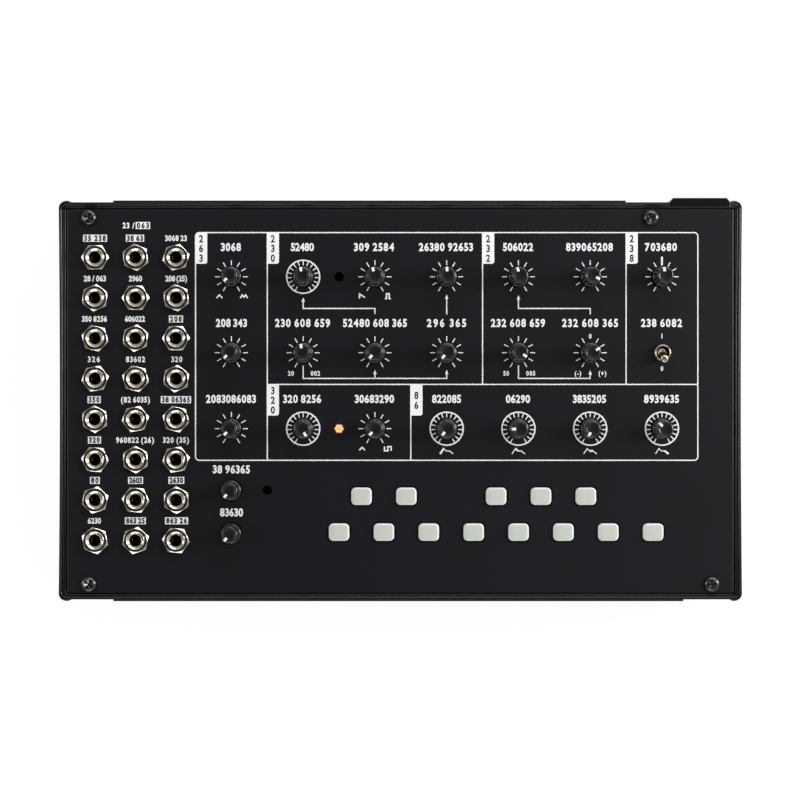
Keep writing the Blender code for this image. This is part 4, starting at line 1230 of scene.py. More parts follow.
def print_figures(look, zs, over):
    figures, dark_figures, tab_figures = Figures(WHITE_WEIGHT), Figures(DARK_WEIGHT), Figures(TAB_WEIGHT)
    white, black, plates = bmesh.new(), bmesh.new(), bmesh.new()

    def add_label(words, x, y, left, right):
        left, right = left * MM, right * MM
        if not words.startswith("*"):
            figures.add(white, words, x, y, look.jack_figure, zs, (left, right))
            return
        add_slab(plates, [(x + end, y + side * PLATE_HEIGHT / 2)
                          for end, side in ((left, -1), (right, -1), (right, 1), (left, 1))], zs)
        dark_figures.add(black, words[1:], x, y, look.jack_figure, over,
                         (left + PLATE_MARGIN, right - PLATE_MARGIN))

    for node in knob_nodes:
        x, y = middle_of(node).xy
        rise = LABEL_OVER_LOWER_KNOB if "lower" in node else LABEL_OVER_KNOB
        words, left, right = KNOB_FIGURES[node]
        figures.add(white, words, x, y + rise, look.knob_figure, zs, (left * MM, right * MM))
    x, y = middle_of("toggle_body").xy
    words, left, right = TOGGLE_FIGURES
    figures.add(white, words, x, y + LABEL_OVER_TOGGLE, look.knob_figure, zs, (left * MM, right * MM))
    for rise, word in TOGGLE_FIGURE_OFFSETS:
        figures.add(white, word, x, y + rise, SMALL_FIGURE, zs)
    x, y = middle_of(CENTRE_DIAL).xy
    figures.add(white, "0", x, y + look.ring_radius, SMALL_FIGURE, zs)
    for node, *pair in SIDE_FIGURES:
        x, y = middle_of(node).xy
        for side, word in zip((-1, 1), pair):
            figures.add(white, word, x + side * SIDE_FIGURE_X, y - SIDE_FIGURE_DROP, SMALL_FIGURE, zs)
    for row, column, x, y in jack_places():
        words, left, right = JACK_FIGURES[row][column]
        add_label(words, x, y + LABEL_OVER_JACK, left, right)
    _, _, x, y = jack_places()[1]
    for words, left, right in HEADING:
        add_label(words, x, y + HEADING_RISE, left, right)
    for x, y, words in TABS:
        for k, letter in enumerate(words):
            tab_figures.add(black, letter, x + TAB_WIDTH / 2 - look.line_width / 2,
                            y - TAB_HEIGHT / 2 + (len(words) / 2 - 0.5 - k) * TAB_PITCH, TAB_FIGURE, over)
    print_piece("printed_figures", white, white_screen_ink())
    print_piece("printed_plates", plates, white_screen_ink())
    print_piece("printed_dark_figures", black, black_screen_ink())


def make_printed_marks():
    look = settings().panel
    zs = (0.0, look.ink_height)
    over = (OVER_LAYER[0] * look.ink_height, OVER_LAYER[1] * look.ink_height)
    print_lines(look, zs)
    print_dials(look, zs)
    print_arrows(look, zs)
    print_waves(look, zs)
    print_figures(look, zs, over)


class SYNTH_OT_printed_marks(bpy.types.Operator):
    """Print the section lines, dials, arrows, marks and plain numbers on the panel"""
    bl_idname = "synth.printed_marks"
    bl_label = "Printed Marks"

    def execute(self, context):
        make_printed_marks()
        return {"FINISHED"}


# Small sizes of the screws
SCREW_SHANK_RADIUS = 1.45 * MM
SCREW_POINT = 0.4 * MM
SCREW_PITCH = 0.5 * MM
SCREW_THREAD = 0.2 * MM
SCREW_RIM = 0.15 * MM
SCREW_SIDE = 0.55 * MM
SCREW_FLAT = 1.3 * MM
CROSS_LENGTH = 3.1 * MM
CROSS_WIDTH = 1.0 * MM
CROSS_BOTTOM = 0.35 * MM
CROSS_STEP = 0.12 * MM
CROSS_DEPTH = 0.75 * MM
SCREW_TURNS = (25, 70, 10, 50)
SCREW_CROWN_ANGLES = (20, 40, 60, 75, 90)


def cross_outline(long, wide, z):
    return [Vector((x, y, z)) for x, y in
            ((long, -wide), (long, wide), (wide, wide), (wide, long), (-wide, long), (-wide, wide),
             (-long, wide), (-long, -wide), (-wide, -wide), (-wide, -long), (wide, -long), (wide, -wide))]


def make_panel_screws():
    low, high = box_of(screw_nodes[0])
    radius, top, seat = (high.x - low.x) / 2, high.z, SEAT_GAP
    shank, start = SCREW_SHANK_RADIUS, low.z + SCREW_POINT
    profile = [(0, low.z), (shank - SCREW_POINT, low.z), (shank, start)]
    for k in range(int((seat - low.z - 2 * SCREW_POINT) / SCREW_PITCH)):
        profile += [(shank - SCREW_THREAD, start + (k + 1 / 4) * SCREW_PITCH),
                    (shank, start + (k + 1 / 2) * SCREW_PITCH)]
    side_top = seat + SCREW_SIDE
    profile += [(shank, seat), (radius - SCREW_RIM, seat), (radius, seat + SCREW_RIM), (radius, side_top)]
    for angle in SCREW_CROWN_ANGLES:
        lean = math.radians(angle)
        profile += [(radius - SCREW_FLAT * (1 - math.cos(lean)),
                     side_top + (top - side_top) * math.sin(lean))]
    cross = stacked([cross_outline(CROSS_BOTTOM, CROSS_BOTTOM / 2, top - CROSS_DEPTH),
                     cross_outline(CROSS_LENGTH / 2, CROSS_WIDTH / 2, top - CROSS_STEP),
                     cross_outline(CROSS_LENGTH / 2, CROSS_WIDTH / 2, top + OVERRUN)])
    mesh = mesh_by_steps("panel_screw", turned(profile + [(0, top)]), [("DIFFERENCE", cross)],
                         black_oxide_steel())
    for node, turn in zip(screw_nodes, SCREW_TURNS):
        place_piece(f"{node}_head", mesh, "case", (*middle_of(node).xy, 0),
                    (0, 0, math.radians(turn)), [node])


class SYNTH_OT_panel_screws(bpy.types.Operator):
    """Make the four pan-head screws"""
    bl_idname = "synth.panel_screws"
    bl_label = "Panel Screws"

    def execute(self, context):
        make_panel_screws()
        return {"FINISHED"}


# Small sizes of the jacks
JACK_BODY_DEPTH = 10.5 * MM
BUSHING_RADIUS = 3.05 * MM
BORE_RADIUS = 1.8 * MM
BORE_DEPTH = 12.5 * MM
MOUTH_CONE = 0.6 * MM
MOUTH_SLOPE = 32.0
THREAD_DEPTH = 0.2 * MM
NUT_TURN_STEP = 37.0
NUT_ROW_TURN_STEP = 23.0
NUT_FACE_SHARE = 0.97
NUT_CHAMFER = 30.0
NUT_CLEARANCE = 0.12 * MM
NUT_HOLE_CHAMFER = 0.1 * MM
GROUND_STRIP_WIDTH = 3.0 * MM
GROUND_STRIP_HEIGHT = 1.2 * MM
GROUND_STRIP_EDGE = 0.25 * MM
CONTACT_WIDTH = 1.2 * MM
CONTACT_THICKNESS = 0.25 * MM

# Where the thread's crest and root lie in its pitch, and the mouth's bell in steps of its half width
THREAD_CREST = 0.25
THREAD_ROOT = 0.6
BELL_LENGTH = 4

# The contact's bends: how far each lies below the bushing's top and from the axis
CONTACT_BENDS = ((BORE_DEPTH - 0.4 * MM, 0.9 * BORE_RADIUS), (0.7 * BORE_DEPTH, 0.6 * BORE_RADIUS),
                 (0.55 * BORE_DEPTH, 0.35 * BORE_RADIUS), (0.42 * BORE_DEPTH, 0.85 * BORE_RADIUS))


def bushing_mesh(top, body_top):
    """A threaded tube whose mouth is a shallow cone that leads the plug in."""
    look = settings().metal
    lip, pitch = look.bushing_lip, look.thread_pitch
    cone_end = BUSHING_RADIUS - lip - MOUTH_CONE
    cone_bottom = top - MOUTH_CONE * math.tan(math.radians(MOUTH_SLOPE))
    bell = (cone_end - BORE_RADIUS) / 2
    profile = [(BORE_RADIUS, body_top), (BUSHING_RADIUS, body_top)]
    for k in range(int((top - lip - body_top) / pitch)):
        start = body_top + k * pitch
        profile += [(BUSHING_RADIUS, start + pitch * THREAD_CREST),
                    (BUSHING_RADIUS - THREAD_DEPTH, start + pitch * THREAD_ROOT)]
    profile += [(BUSHING_RADIUS, top - lip)] + fillet(BUSHING_RADIUS - lip, top - lip, lip, 0, 90, 5)
    profile += [(cone_end, cone_bottom), (BORE_RADIUS + bell, cone_bottom - bell),
                (BORE_RADIUS, cone_bottom - BELL_LENGTH * bell)]
    tube = turned(profile + profile[:1])
    bmesh.ops.remove_doubles(tube, verts=tube.verts[:], dist=MERGE_DISTANCE)
    return finish_mesh("jack_bushing", tube, nickel_plated_brass())


def nut_mesh():
    """A hexagon nut, chamfered on its corners and round its hole."""
    look = settings().metal
    half = look.nut_across_flats / 2
    corner = half / math.cos(math.pi / 6)
    top = SEAT_GAP + look.nut_height
    block = stacked([circle(0, 0, corner, 6, z) for z in (SEAT_GAP, top)])
    reach = corner + OVERRUN
    face, slope = half * NUT_FACE_SHARE, math.tan(math.radians(NUT_CHAMFER))
    cone = turned([(0, SEAT_GAP - OVERRUN), (reach, SEAT_GAP - OVERRUN),
                   (reach, top - (reach - face) * slope), (0, top + face * slope)])
    inner = BUSHING_RADIUS + NUT_CLEARANCE
    hole = turned([(0, SEAT_GAP - OVERRUN), (inner, SEAT_GAP - OVERRUN), (inner, top - NUT_HOLE_CHAMFER),
                   (inner + NUT_HOLE_CHAMFER + OVERRUN, top + OVERRUN), (0, top + OVERRUN)])
    return mesh_by_steps("jack_nut", block, [("INTERSECT", cone), ("DIFFERENCE", hole)],
                         nickel_plated_brass())


def jack_body_mesh(floor, body_top, top):
    """The plastic housing under the panel, open for the plug."""
    housing = soft_boxes(GROUND_STRIP_EDGE, span(0, 0, JACK_BODY_WIDTH, JACK_BODY_DEPTH,
                                                 floor + GROUND_STRIP_HEIGHT, body_top))
    bore = plug(BORE_RADIUS, top - BORE_DEPTH, body_top + OVERRUN)
    return mesh_by_steps("jack_body", housing, [("DIFFERENCE", bore)], moulded_black_nylon())


def contact_mesh(top):
    """The bent spring that meets the plug's tip, at one side of the bore."""
    half, thin = CONTACT_WIDTH / 2, CONTACT_THICKNESS
    spring = stacked([[Vector((x, y, top - drop)) for x, y in
                       ((-reach, -half), (thin - reach, -half), (thin - reach, half), (-reach, half))]
                      for drop, reach in CONTACT_BENDS])
    return finish_mesh("jack_contact", spring, phosphor_bronze())


def make_jacks():
    low, high = box_of(jack_row_nodes[0])
    top, floor = high.z, low.z
    body_top = -panel_size.z - SEAT_GAP
    metal = (("bushing", bushing_mesh(top, body_top), "nickel"), ("nut", nut_mesh(), "nickel"))
    inside = (("body", jack_body_mesh(floor, body_top, top), "moulded_abs"),
              ("contact", contact_mesh(top), "nickel"))
    for row, column, x, y in jack_places():
        name = f"jack_{row * JACK_COLUMNS + column + 1}"
        turn = math.radians(column * NUT_TURN_STEP + row * NUT_ROW_TURN_STEP)
        replaced = [jack_row_nodes[row]] if column == 0 else ()
        place_set(name, metal, (x, y, 0), tilt=(0, 0, turn), replaces=replaced)
        place_set(name, inside, (x, y, 0))
    for row, node in enumerate(jack_row_nodes):
        low, high = box_of(node)
        strip = soft_boxes(GROUND_STRIP_EDGE, span(*middle_of(node).xy, high.x - low.x - JACK_BODY_WIDTH,
                                                   GROUND_STRIP_WIDTH, floor, floor + GROUND_STRIP_HEIGHT))
        mesh = finish_mesh("jack_ground_strip", strip, phosphor_bronze())
        place_piece(f"jack_row_{row + 1}_ground_strip", mesh)


class SYNTH_OT_jacks(bpy.types.Operator):
    """Make the 24 jacks: bushing, nut, contact and body, and the ground strip of each row"""
    bl_idname = "synth.jacks"
    bl_label = "Jacks"

    def execute(self, context):
        make_jacks()
        return {"FINISHED"}


# Small sizes of the knobs
KNOB_RADIUS = 3.35 * MM
KNOB_TOP_RADIUS = 2.7 * MM
KNOB_SKIRT_HEIGHT = 2.6 * MM
KNOB_EDGE = 0.45 * MM
KNOB_SHAFT_RADIUS = 1.5 * MM
KNOB_SHAFT_LENGTH = 3.6 * MM
KNOB_SOFT = 0.45 * MM
KNOB_STEP = 0.45 * MM
KNOB_CROWN = ((0.2 * MM, 0.3), (0.4 * MM, 0.8), (0.55 * MM, 1.0))
POINTER_DROP = 3.2 * MM
POINTER_RAISE = 0.03 * MM
POINTER_DEPTH = 0.3 * MM


def make_knobs():
    look = settings().controls
    low, high = box_of("knob_lower_1")
    top = high.z - POINTER_RAISE
    base, top_radius, edge, soft = KNOB_RADIUS, KNOB_TOP_RADIUS, KNOB_EDGE, KNOB_SOFT
    shoulder, dish = low.z + KNOB_SHAFT_LENGTH, top - look.knob_dish
    profile = [(0, low.z), (KNOB_SHAFT_RADIUS, low.z), (KNOB_SHAFT_RADIUS, shoulder),
               (base - soft, shoulder), (base, shoulder + soft)]
    profile += fillet(base - soft, KNOB_SKIRT_HEIGHT - soft, soft, 0, 90)
    profile += [(base - KNOB_STEP, KNOB_SKIRT_HEIGHT), (top_radius, top - edge)]
    upper = fillet(top_radius - edge, top - edge, edge, 10, 90, 6)
    upper += [(top_radius - edge - inwards, top - look.knob_dish * share) for inwards, share in KNOB_CROWN]
    cap = finish_mesh("knob_cap", turned(profile + upper + [(0, dish)]), satin_moulded_abs())

    # The pointer follows the cap's outline from its top over the edge and down the flank
    slope = (base - KNOB_STEP - top_radius) / (top - edge - KNOB_SKIRT_HEIGHT)
    line = [(top_radius - look.pointer_length, dish)] + upper[::-1]
    line += [(top_radius + slope * (POINTER_DROP - edge), top - POINTER_DROP)]
    half, lift = look.pointer_width / 2, POINTER_RAISE
    sections = []
    for before, here, after in zip(line[:1] + line[:-1], line, line[1:] + line[-1:]):
        along = (Vector(after) - Vector(before)).normalized()
        outward = Vector((-along.y, along.x))
        over, side, under = [Vector(here) + outward * height for height in (lift, 0, -POINTER_DEPTH)]
        sections.append([Vector((x, *spot)) for x, spot in (
            (-half, under), (-half, side), (2 * lift - half, over),
            (half - 2 * lift, over), (half, side), (half, under))])
    pointer = finish_mesh("knob_pointer", stacked(sections), pad_printed_white())
    parts = (("cap", cap, "knob_plastic"), ("pointer", pointer, "knob_plastic"))
    for node in knob_nodes:
        place_set(node, parts, (*middle_of(node).xy, 0), f"{node}_body",
                  (0, 0, -math.radians(pointer_of(node))), [node])


class SYNTH_OT_knobs(bpy.types.Operator):
    """Make the 22 knobs with their pointers and shafts"""
    bl_idname = "synth.knobs"
    bl_label = "Knobs"

    def execute(self, context):
        make_knobs()
        return {"FINISHED"}


# Small sizes of the keys
KEY_FLANGE = 0.9 * MM
KEY_FLANGE_HEIGHT = 1.0 * MM
KEY_ROOT = 0.25 * MM
KEY_STEM_RADIUS = 1.4 * MM
KEY_CROWN_SHARE = 0.6
# How many times sharper a key's corners get towards the middle of its top, at most
KEY_CORNER_FALL = 3


def make_keys():
    look = settings().controls
    low, high = box_of(key_nodes[0])
    top = high.z - look.key_crown
    flange_top = -panel_size.z - SEAT_GAP
    flange_low = flange_top - KEY_FLANGE_HEIGHT
    edge, corner = look.key_edge, look.key_corner

    def key_outlines(levels):
        return [round_rectangle(0, 0, KEY_WIDTH + 2 * grow, KEY_DEPTH + 2 * grow,
                                max(corner + grow, corner / KEY_CORNER_FALL), z) for grow, z in levels]

    levels = [(0, flange_top), (0, top - edge)]
    levels += [(x - edge, z) for x, z in fillet(0, top - edge, edge, 15, 90, 6)]
    levels += [(-2 * edge, top + look.key_crown * KEY_CROWN_SHARE), (-3 * edge, top + look.key_crown)]
    cap = finish_mesh("key_cap", stacked(key_outlines(levels)), moulded_silicone())
    # The flange and stem are black so that the gap round each cap shows dark: painted shade standing in for
    # the shadow in that gap
    flange = stacked(key_outlines([(KEY_FLANGE - KEY_ROOT, flange_low), (KEY_FLANGE, flange_low + KEY_ROOT),
                                   (KEY_FLANGE, flange_top)]))
    radius, stem_top = KEY_STEM_RADIUS, flange_top - KEY_FLANGE_HEIGHT / 2
    stem = turned([(0, low.z), (radius - KEY_ROOT, low.z), (radius, low.z + KEY_ROOT),
                   (radius, stem_top), (0, stem_top)], SMALL_ROUND)
    plunger = mesh_by_steps("key_plunger", flange, [("UNION", stem)], moulded_black_nylon())
    parts = (("cap", cap, "key_rubber"), ("plunger", plunger, "moulded_abs"))
    for node in key_nodes:
        place_set(node, parts, (*middle_of(node).xy, 0), f"{node}_body", replaces=[node])


class SYNTH_OT_keys(bpy.types.Operator):
    """Make the 13 keys: a soft cap on a black plunger, whose flange stays below the panel"""
    bl_idname = "synth.keys"
    bl_label = "Keys"

    def execute(self, context):
        make_keys()
        return {"FINISHED"}


# Small sizes of the toggle switch
TOGGLE_RADIUS = 2.7 * MM
TOGGLE_WALL = 0.5 * MM
TOGGLE_THREAD = 0.55 * MM
TOGGLE_WELL = 4.0 * MM
LEVER_RADIUS = 1.0 * MM
LEVER_TIP_RADIUS = 1.35 * MM
LEVER_LENGTH = 10.6 * MM
LEVER_TAIL = 2.4 * MM
LEVER_EDGE = 0.8 * MM
LEVER_BALL_RADIUS = 2.08 * MM


def make_toggle_switch():
    low, high = box_of("toggle_body")
    place = (*middle_of("toggle_body").xy, 0)
    body_top = -panel_size.z - SEAT_GAP
    wall, root = TOGGLE_WALL, body_top - RIM_DROP
    bore, start = TOGGLE_RADIUS - wall, high.z - wall
    profile = [(bore, root), (bore, start)]
    profile += fillet(TOGGLE_RADIUS - wall / 2, high.z - wall / 2, wall / 2, 180, 0, 8)
    while start - TOGGLE_THREAD > body_top:
        profile += [(TOGGLE_RADIUS, start), (TOGGLE_RADIUS - THREAD_DEPTH, start - TOGGLE_THREAD / 2)]
        start -= TOGGLE_THREAD
    tube = turned(profile + [(TOGGLE_RADIUS, start), (TOGGLE_RADIUS, root), (bore, root)])
    bmesh.ops.remove_doubles(tube, verts=tube.verts[:], dist=MERGE_DISTANCE)
    mesh = finish_mesh("toggle_bushing", tube, nickel_plated_brass())
    place_piece("toggle_bushing", mesh, place=place, replaces=["toggle_body"])

    pivot = Vector(joints["toggle_lever_flip"]["pos_m"]) - origin
    housing = soft_boxes(GROUND_STRIP_EDGE, span(0, 0, high.x - low.x, high.y - low.y, low.z, body_top))
    well = plug(bore, pivot.z - TOGGLE_WELL, body_top + OVERRUN, ROUND)
    mesh = mesh_by_steps("toggle_housing", housing, [("DIFFERENCE", well)], moulded_black_nylon())
    place_piece("toggle_housing", mesh, place=place)

    length, edge = LEVER_LENGTH, LEVER_EDGE
    profile = [(0, -LEVER_TAIL)] + fillet(0, LEVER_RADIUS - LEVER_TAIL, LEVER_RADIUS, -80, 0, 6)
    profile += fillet(0, 0, LEVER_BALL_RADIUS, -50, 58, 10)
    profile += [(LEVER_RADIUS, LEVER_TAIL), (LEVER_TIP_RADIUS, length - edge)]
    profile += fillet(LEVER_TIP_RADIUS - edge, length - edge, edge, 10, 90, 6) + [(0, length)]
    mesh = finish_mesh("toggle_lever_bat", turned(profile), nickel_plated_brass())
    tilt = math.radians(joints["toggle_lever_flip"]["range_deg"][1]) / 2
    place_piece("toggle_lever_bat", mesh, "toggle_lever_body", pivot, (tilt, 0, 0),
                ["toggle_lever"])


class SYNTH_OT_toggle_switch(bpy.types.Operator):
    """Make the toggle switch: housing, bushing and lever"""
    bl_idname = "synth.toggle_switch"
    bl_label = "Toggle Switch"

    def execute(self, context):
        make_toggle_switch()
        return {"FINISHED"}


# Small sizes of the lamp
LED_RADIUS = 1.5 * MM
LED_LENGTH = 4.6 * MM
LED_FLANGE = 0.4 * MM
LED_FLANGE_HEIGHT = 0.8 * MM
LED_LEG = 0.5 * MM
LED_LEG_PITCH = 2.0 * MM
LED_LEG_EDGE = LED_LEG / 8


def make_lamp():
    low, high = box_of("led")
    foot, rim = high.z - LED_LENGTH, LED_RADIUS + LED_FLANGE
    shoulder = foot + LED_FLANGE_HEIGHT
    profile = [(0, foot), (rim, foot), (rim, shoulder), (LED_RADIUS, shoulder)]
    profile += fillet(0, high.z - LED_RADIUS, LED_RADIUS, 0, 84, 8) + [(0, high.z)]
    lens = finish_mesh("led_lens", turned(profile, SMALL_ROUND), lit_epoxy())
    legs = soft_boxes(LED_LEG_EDGE, *[span(side * LED_LEG_PITCH / 2, 0, LED_LEG, LED_LEG, low.z, foot)
                                      for side in (-1, 1)])
    legs = finish_mesh("led_legs", legs, nickel_plated_brass())
    parts = (("lens", lens, "lamp_resin"), ("legs", legs, "nickel"))
    place_set("led", parts, (*middle_of("led").xy, 0), replaces=["led"])


class SYNTH_OT_lamp(bpy.types.Operator):
    """Make the lit lamp and its legs"""
    bl_idname = "synth.lamp"
    bl_label = "Lamp"

    def execute(self, context):
        make_lamp()
        return {"FINISHED"}


# Small sizes of the power inlet
INLET_EDGE = 0.4 * MM
INLET_BORE_RADIUS = 3.1 * MM
INLET_BORE_DEPTH = 9.5 * MM
INLET_PIN_RADIUS = 1.05 * MM
INLET_PIN_RECESS = 0.7 * MM


def make_power_inlet():
    low, high = box_of("power_inlet")
    spot = middle_of("power_inlet")
    lie = Matrix.Translation((0, high.y, 0)) @ Matrix.Rotation(math.radians(-90), 4, "X")
    half_x, half_z = (high.x - low.x) / 2, (high.z - low.z) / 2
    housing = soft_boxes(INLET_EDGE, ((-half_x, low.y, -half_z), (half_x, high.y, half_z)))
    wide = INLET_BORE_RADIUS + INLET_EDGE
    bore = turned([(0, -INLET_BORE_DEPTH), (INLET_BORE_RADIUS, -INLET_BORE_DEPTH),
                   (INLET_BORE_RADIUS, -INLET_EDGE), (wide, 0), (wide, OVERRUN), (0, OVERRUN)], ROUND, lie)
    housing = mesh_by_steps("power_inlet_housing", housing, [("DIFFERENCE", bore)], moulded_black_nylon())
    root = -INLET_BORE_DEPTH - OVERRUN
    profile = [(0, root), (INLET_PIN_RADIUS, root)]
    profile += fillet(0, -INLET_PIN_RECESS - INLET_PIN_RADIUS, INLET_PIN_RADIUS, 0, 80, 6)
    pin = turned(profile + [(0, -INLET_PIN_RECESS)], SMALL_ROUND, lie)
    pin = finish_mesh("power_inlet_pin", pin, nickel_plated_brass())
    parts = (("housing", housing, "moulded_abs"), ("pin", pin, "nickel"))
    place_set("power_inlet", parts, (spot.x, 0, spot.z), replaces=["power_inlet"])


class SYNTH_OT_power_inlet(bpy.types.Operator):
    """Make the power inlet: housing, socket and centre pin"""
    bl_idname = "synth.power_inlet"
    bl_label = "Power Inlet"

    def execute(self, context):
        make_power_inlet()
        return {"FINISHED"}


# Small sizes of the feet
FOOT_EDGE = 0.5 * MM
FOOT_CUP_RADIUS = 3.5 * MM
FOOT_CUP_DEPTH = 0.4 * MM


def make_feet():
    low, high = box_of(foot_nodes[0])
    radius, height = (high.x - low.x) / 2, high.z - low.z
    profile = [(0, FOOT_CUP_DEPTH), (FOOT_CUP_RADIUS - FOOT_CUP_DEPTH, FOOT_CUP_DEPTH), (FOOT_CUP_RADIUS, 0)]
    profile += fillet(radius - FOOT_EDGE, FOOT_EDGE, FOOT_EDGE, -90, 0)
    profile += fillet(radius - FOOT_EDGE / 2, height - FOOT_EDGE / 2, FOOT_EDGE / 2, 0, 90, 3)
    mesh = finish_mesh("rubber_foot", turned(profile + [(0, height)]), moulded_rubber())
    for node in foot_nodes:
        place_piece(f"{node}_pad", mesh, place=(*middle_of(node).xy, low.z), replaces=[node])


class SYNTH_OT_feet(bpy.types.Operator):
    """Make the four rubber feet"""
    bl_idname = "synth.feet"
    bl_label = "Rubber Feet"

    def execute(self, context):
        make_feet()
        return {"FINISHED"}


# Sizes of the board and what is on it
BOARD_THICKNESS = 1.6 * MM
BOARD_CORNER = 1.0 * MM
BOARD_EDGE = 0.1 * MM
HOUSING_EDGE = 0.25 * MM
HOUSING_INSET = 0.4 * MM
PIN_EDGE = 0.06 * MM
PIN_WIDTH = 0.7 * MM
POT_WIDTH = 9.7 * MM
POT_DEPTH = 11.0 * MM
POT_HEIGHT = 6.5 * MM
POT_COVER = 2.2 * MM
POT_BORE_RADIUS = 2.05 * MM
POT_BORE_DEPTH = 4.0 * MM
POT_TAB = 2.0 * MM
POT_PIN_PITCH = 2.5 * MM
SWITCH_SIZE = 6.2 * MM
SWITCH_HEIGHT = 4.5 * MM
SWITCH_COVER = 0.5 * MM
SWITCH_BORE_RADIUS = 2.1 * MM
SWITCH_BORE_DEPTH = 3.0 * MM
SPRING_RADIUS = 1.9 * MM
SPRING_RISE = 0.35 * MM
SPRING_DOME = ((1, 0), (0.7, 0.6), (0.4, 0.9), (0, 1))
TRIMMER_SIZE = 6.8 * MM
TRIMMER_HEIGHT = 4.6 * MM
TRIMMER_BORE_RADIUS = 1.85 * MM
TRIMMER_BORE_DEPTH = 2.2 * MM
CHIP_LENGTH = 19.0 * MM
CHIP_WIDTH = 7.6 * MM
CHIP_BODY_WIDTH = 6.4 * MM
CHIP_HEIGHT = 3.6 * MM
CHIP_GAP = 0.4 * MM
CHIP_NOTCH = 0.9 * MM
CHIP_LEGS = 7
CHIP_LEG_PITCH = 2.54 * MM
CHIP_PITCH = 34.0 * MM
CHIP_ROW_PITCH = 30.0 * MM
CHIP_COLUMNS = 5
CHIP_ROWS = 3
CAPACITOR_RADIUS = 4.0 * MM
CAPACITOR_HEIGHT = 11.0 * MM
CAPACITOR_EDGE = 0.35 * MM
CAPACITOR_CRIMP = ((0.4 * MM, 1), (1.6 * MM, 1), (1.9 * MM, 0.2), (2.2 * MM, 0.2), (2.6 * MM, 1))
CAPACITOR_PITCH = 11.0 * MM
CAPACITORS = 3


def place_potentiometers(top):
    """A black base under a metal cover, with a socket for the shaft, side tabs and three pins."""
    half_x, half_y = POT_WIDTH / 2, POT_DEPTH / 2
    base, cover = [soft_boxes(HOUSING_EDGE, ((HOUSING_INSET - half_x, HOUSING_INSET - half_y, low),
                                             (half_x - HOUSING_INSET, half_y, high)))
                   for low, high in ((0, POT_COVER), (POT_COVER, POT_HEIGHT))]
    base = finish_mesh("potentiometer_base", base, moulded_black_nylon())
    socket = plug(POT_BORE_RADIUS, POT_HEIGHT - POT_BORE_DEPTH, POT_HEIGHT + OVERRUN)
    cover = mesh_by_steps("potentiometer_cover", cover, [("DIFFERENCE", socket)], nickel_plated_brass())
    spans = [span(side * (half_x - HOUSING_INSET / 2), 0, HOUSING_INSET, POT_TAB, 0, POT_HEIGHT - POT_TAB)
             for side in (-1, 1)]
    spans += [span(x, HOUSING_INSET / 2 - half_y, PIN_WIDTH, HOUSING_INSET, 0, POT_COVER - PIN_WIDTH)
              for x in (-POT_PIN_PITCH, 0, POT_PIN_PITCH)]
    legs = finish_mesh("potentiometer_legs", soft_boxes(PIN_EDGE, *spans), nickel_plated_brass())
    parts = (("base", base, "moulded_abs"), ("cover", cover, "nickel"), ("legs", legs, "nickel"))
    for node in knob_nodes:
        place_set(f"{node}_pot", parts, (*middle_of(node).xy, top))


def place_switches(top):
    """A square housing with a metal cover plate and a domed spring at the bottom of its well."""
    floor, side = SWITCH_HEIGHT - SWITCH_BORE_DEPTH, SWITCH_SIZE - 2 * HOUSING_EDGE
    housing = soft_boxes(HOUSING_EDGE, span(0, 0, SWITCH_SIZE, SWITCH_SIZE, 0, SWITCH_HEIGHT - SWITCH_COVER))
    well = plug(SWITCH_BORE_RADIUS, floor, SWITCH_HEIGHT + OVERRUN)
    housing = mesh_by_steps("key_switch_housing", housing, [("DIFFERENCE", well)], moulded_black_nylon())
    loops = [lambda grow: round_rectangle(0, 0, side + 2 * grow, side + 2 * grow, HOUSING_INSET),
             lambda grow: circle(0, 0, SWITCH_BORE_RADIUS + grow, SMALL_ROUND)]
    cover = pierced_plate(loops, [(SWITCH_HEIGHT - SWITCH_COVER, 0, 0), (SWITCH_HEIGHT - PIN_EDGE, 0, 0),
                                  (SWITCH_HEIGHT, -PIN_EDGE, PIN_EDGE)])
    cover = finish_mesh("key_switch_cover", cover, nickel_plated_brass())
    dome = [(0, floor)] + [(SPRING_RADIUS * across, floor + SPRING_RISE * up) for across, up in SPRING_DOME]
    spring = finish_mesh("key_switch_spring", turned(dome, SMALL_ROUND), phosphor_bronze())
    parts = (("housing", housing, "moulded_abs"), ("cover", cover, "nickel"), ("spring", spring, "nickel"))
    for node in key_nodes:
        place_set(f"{node}_switch", parts, (*middle_of(node).xy, top))


def place_trimmers(top):
    """A square housing with a round well for the rotor."""
    housing = soft_boxes(HOUSING_EDGE, span(0, 0, TRIMMER_SIZE, TRIMMER_SIZE, 0, TRIMMER_HEIGHT))
    well = plug(TRIMMER_BORE_RADIUS, TRIMMER_HEIGHT - TRIMMER_BORE_DEPTH, TRIMMER_HEIGHT + OVERRUN)
    mesh = mesh_by_steps("trimmer_housing", housing, [("DIFFERENCE", well)], moulded_black_nylon())
    for k, node in enumerate(trimmer_nodes):
        place_piece(f"trimmer_{k + 1}_housing", mesh, place=(*middle_of(node).xy, top))


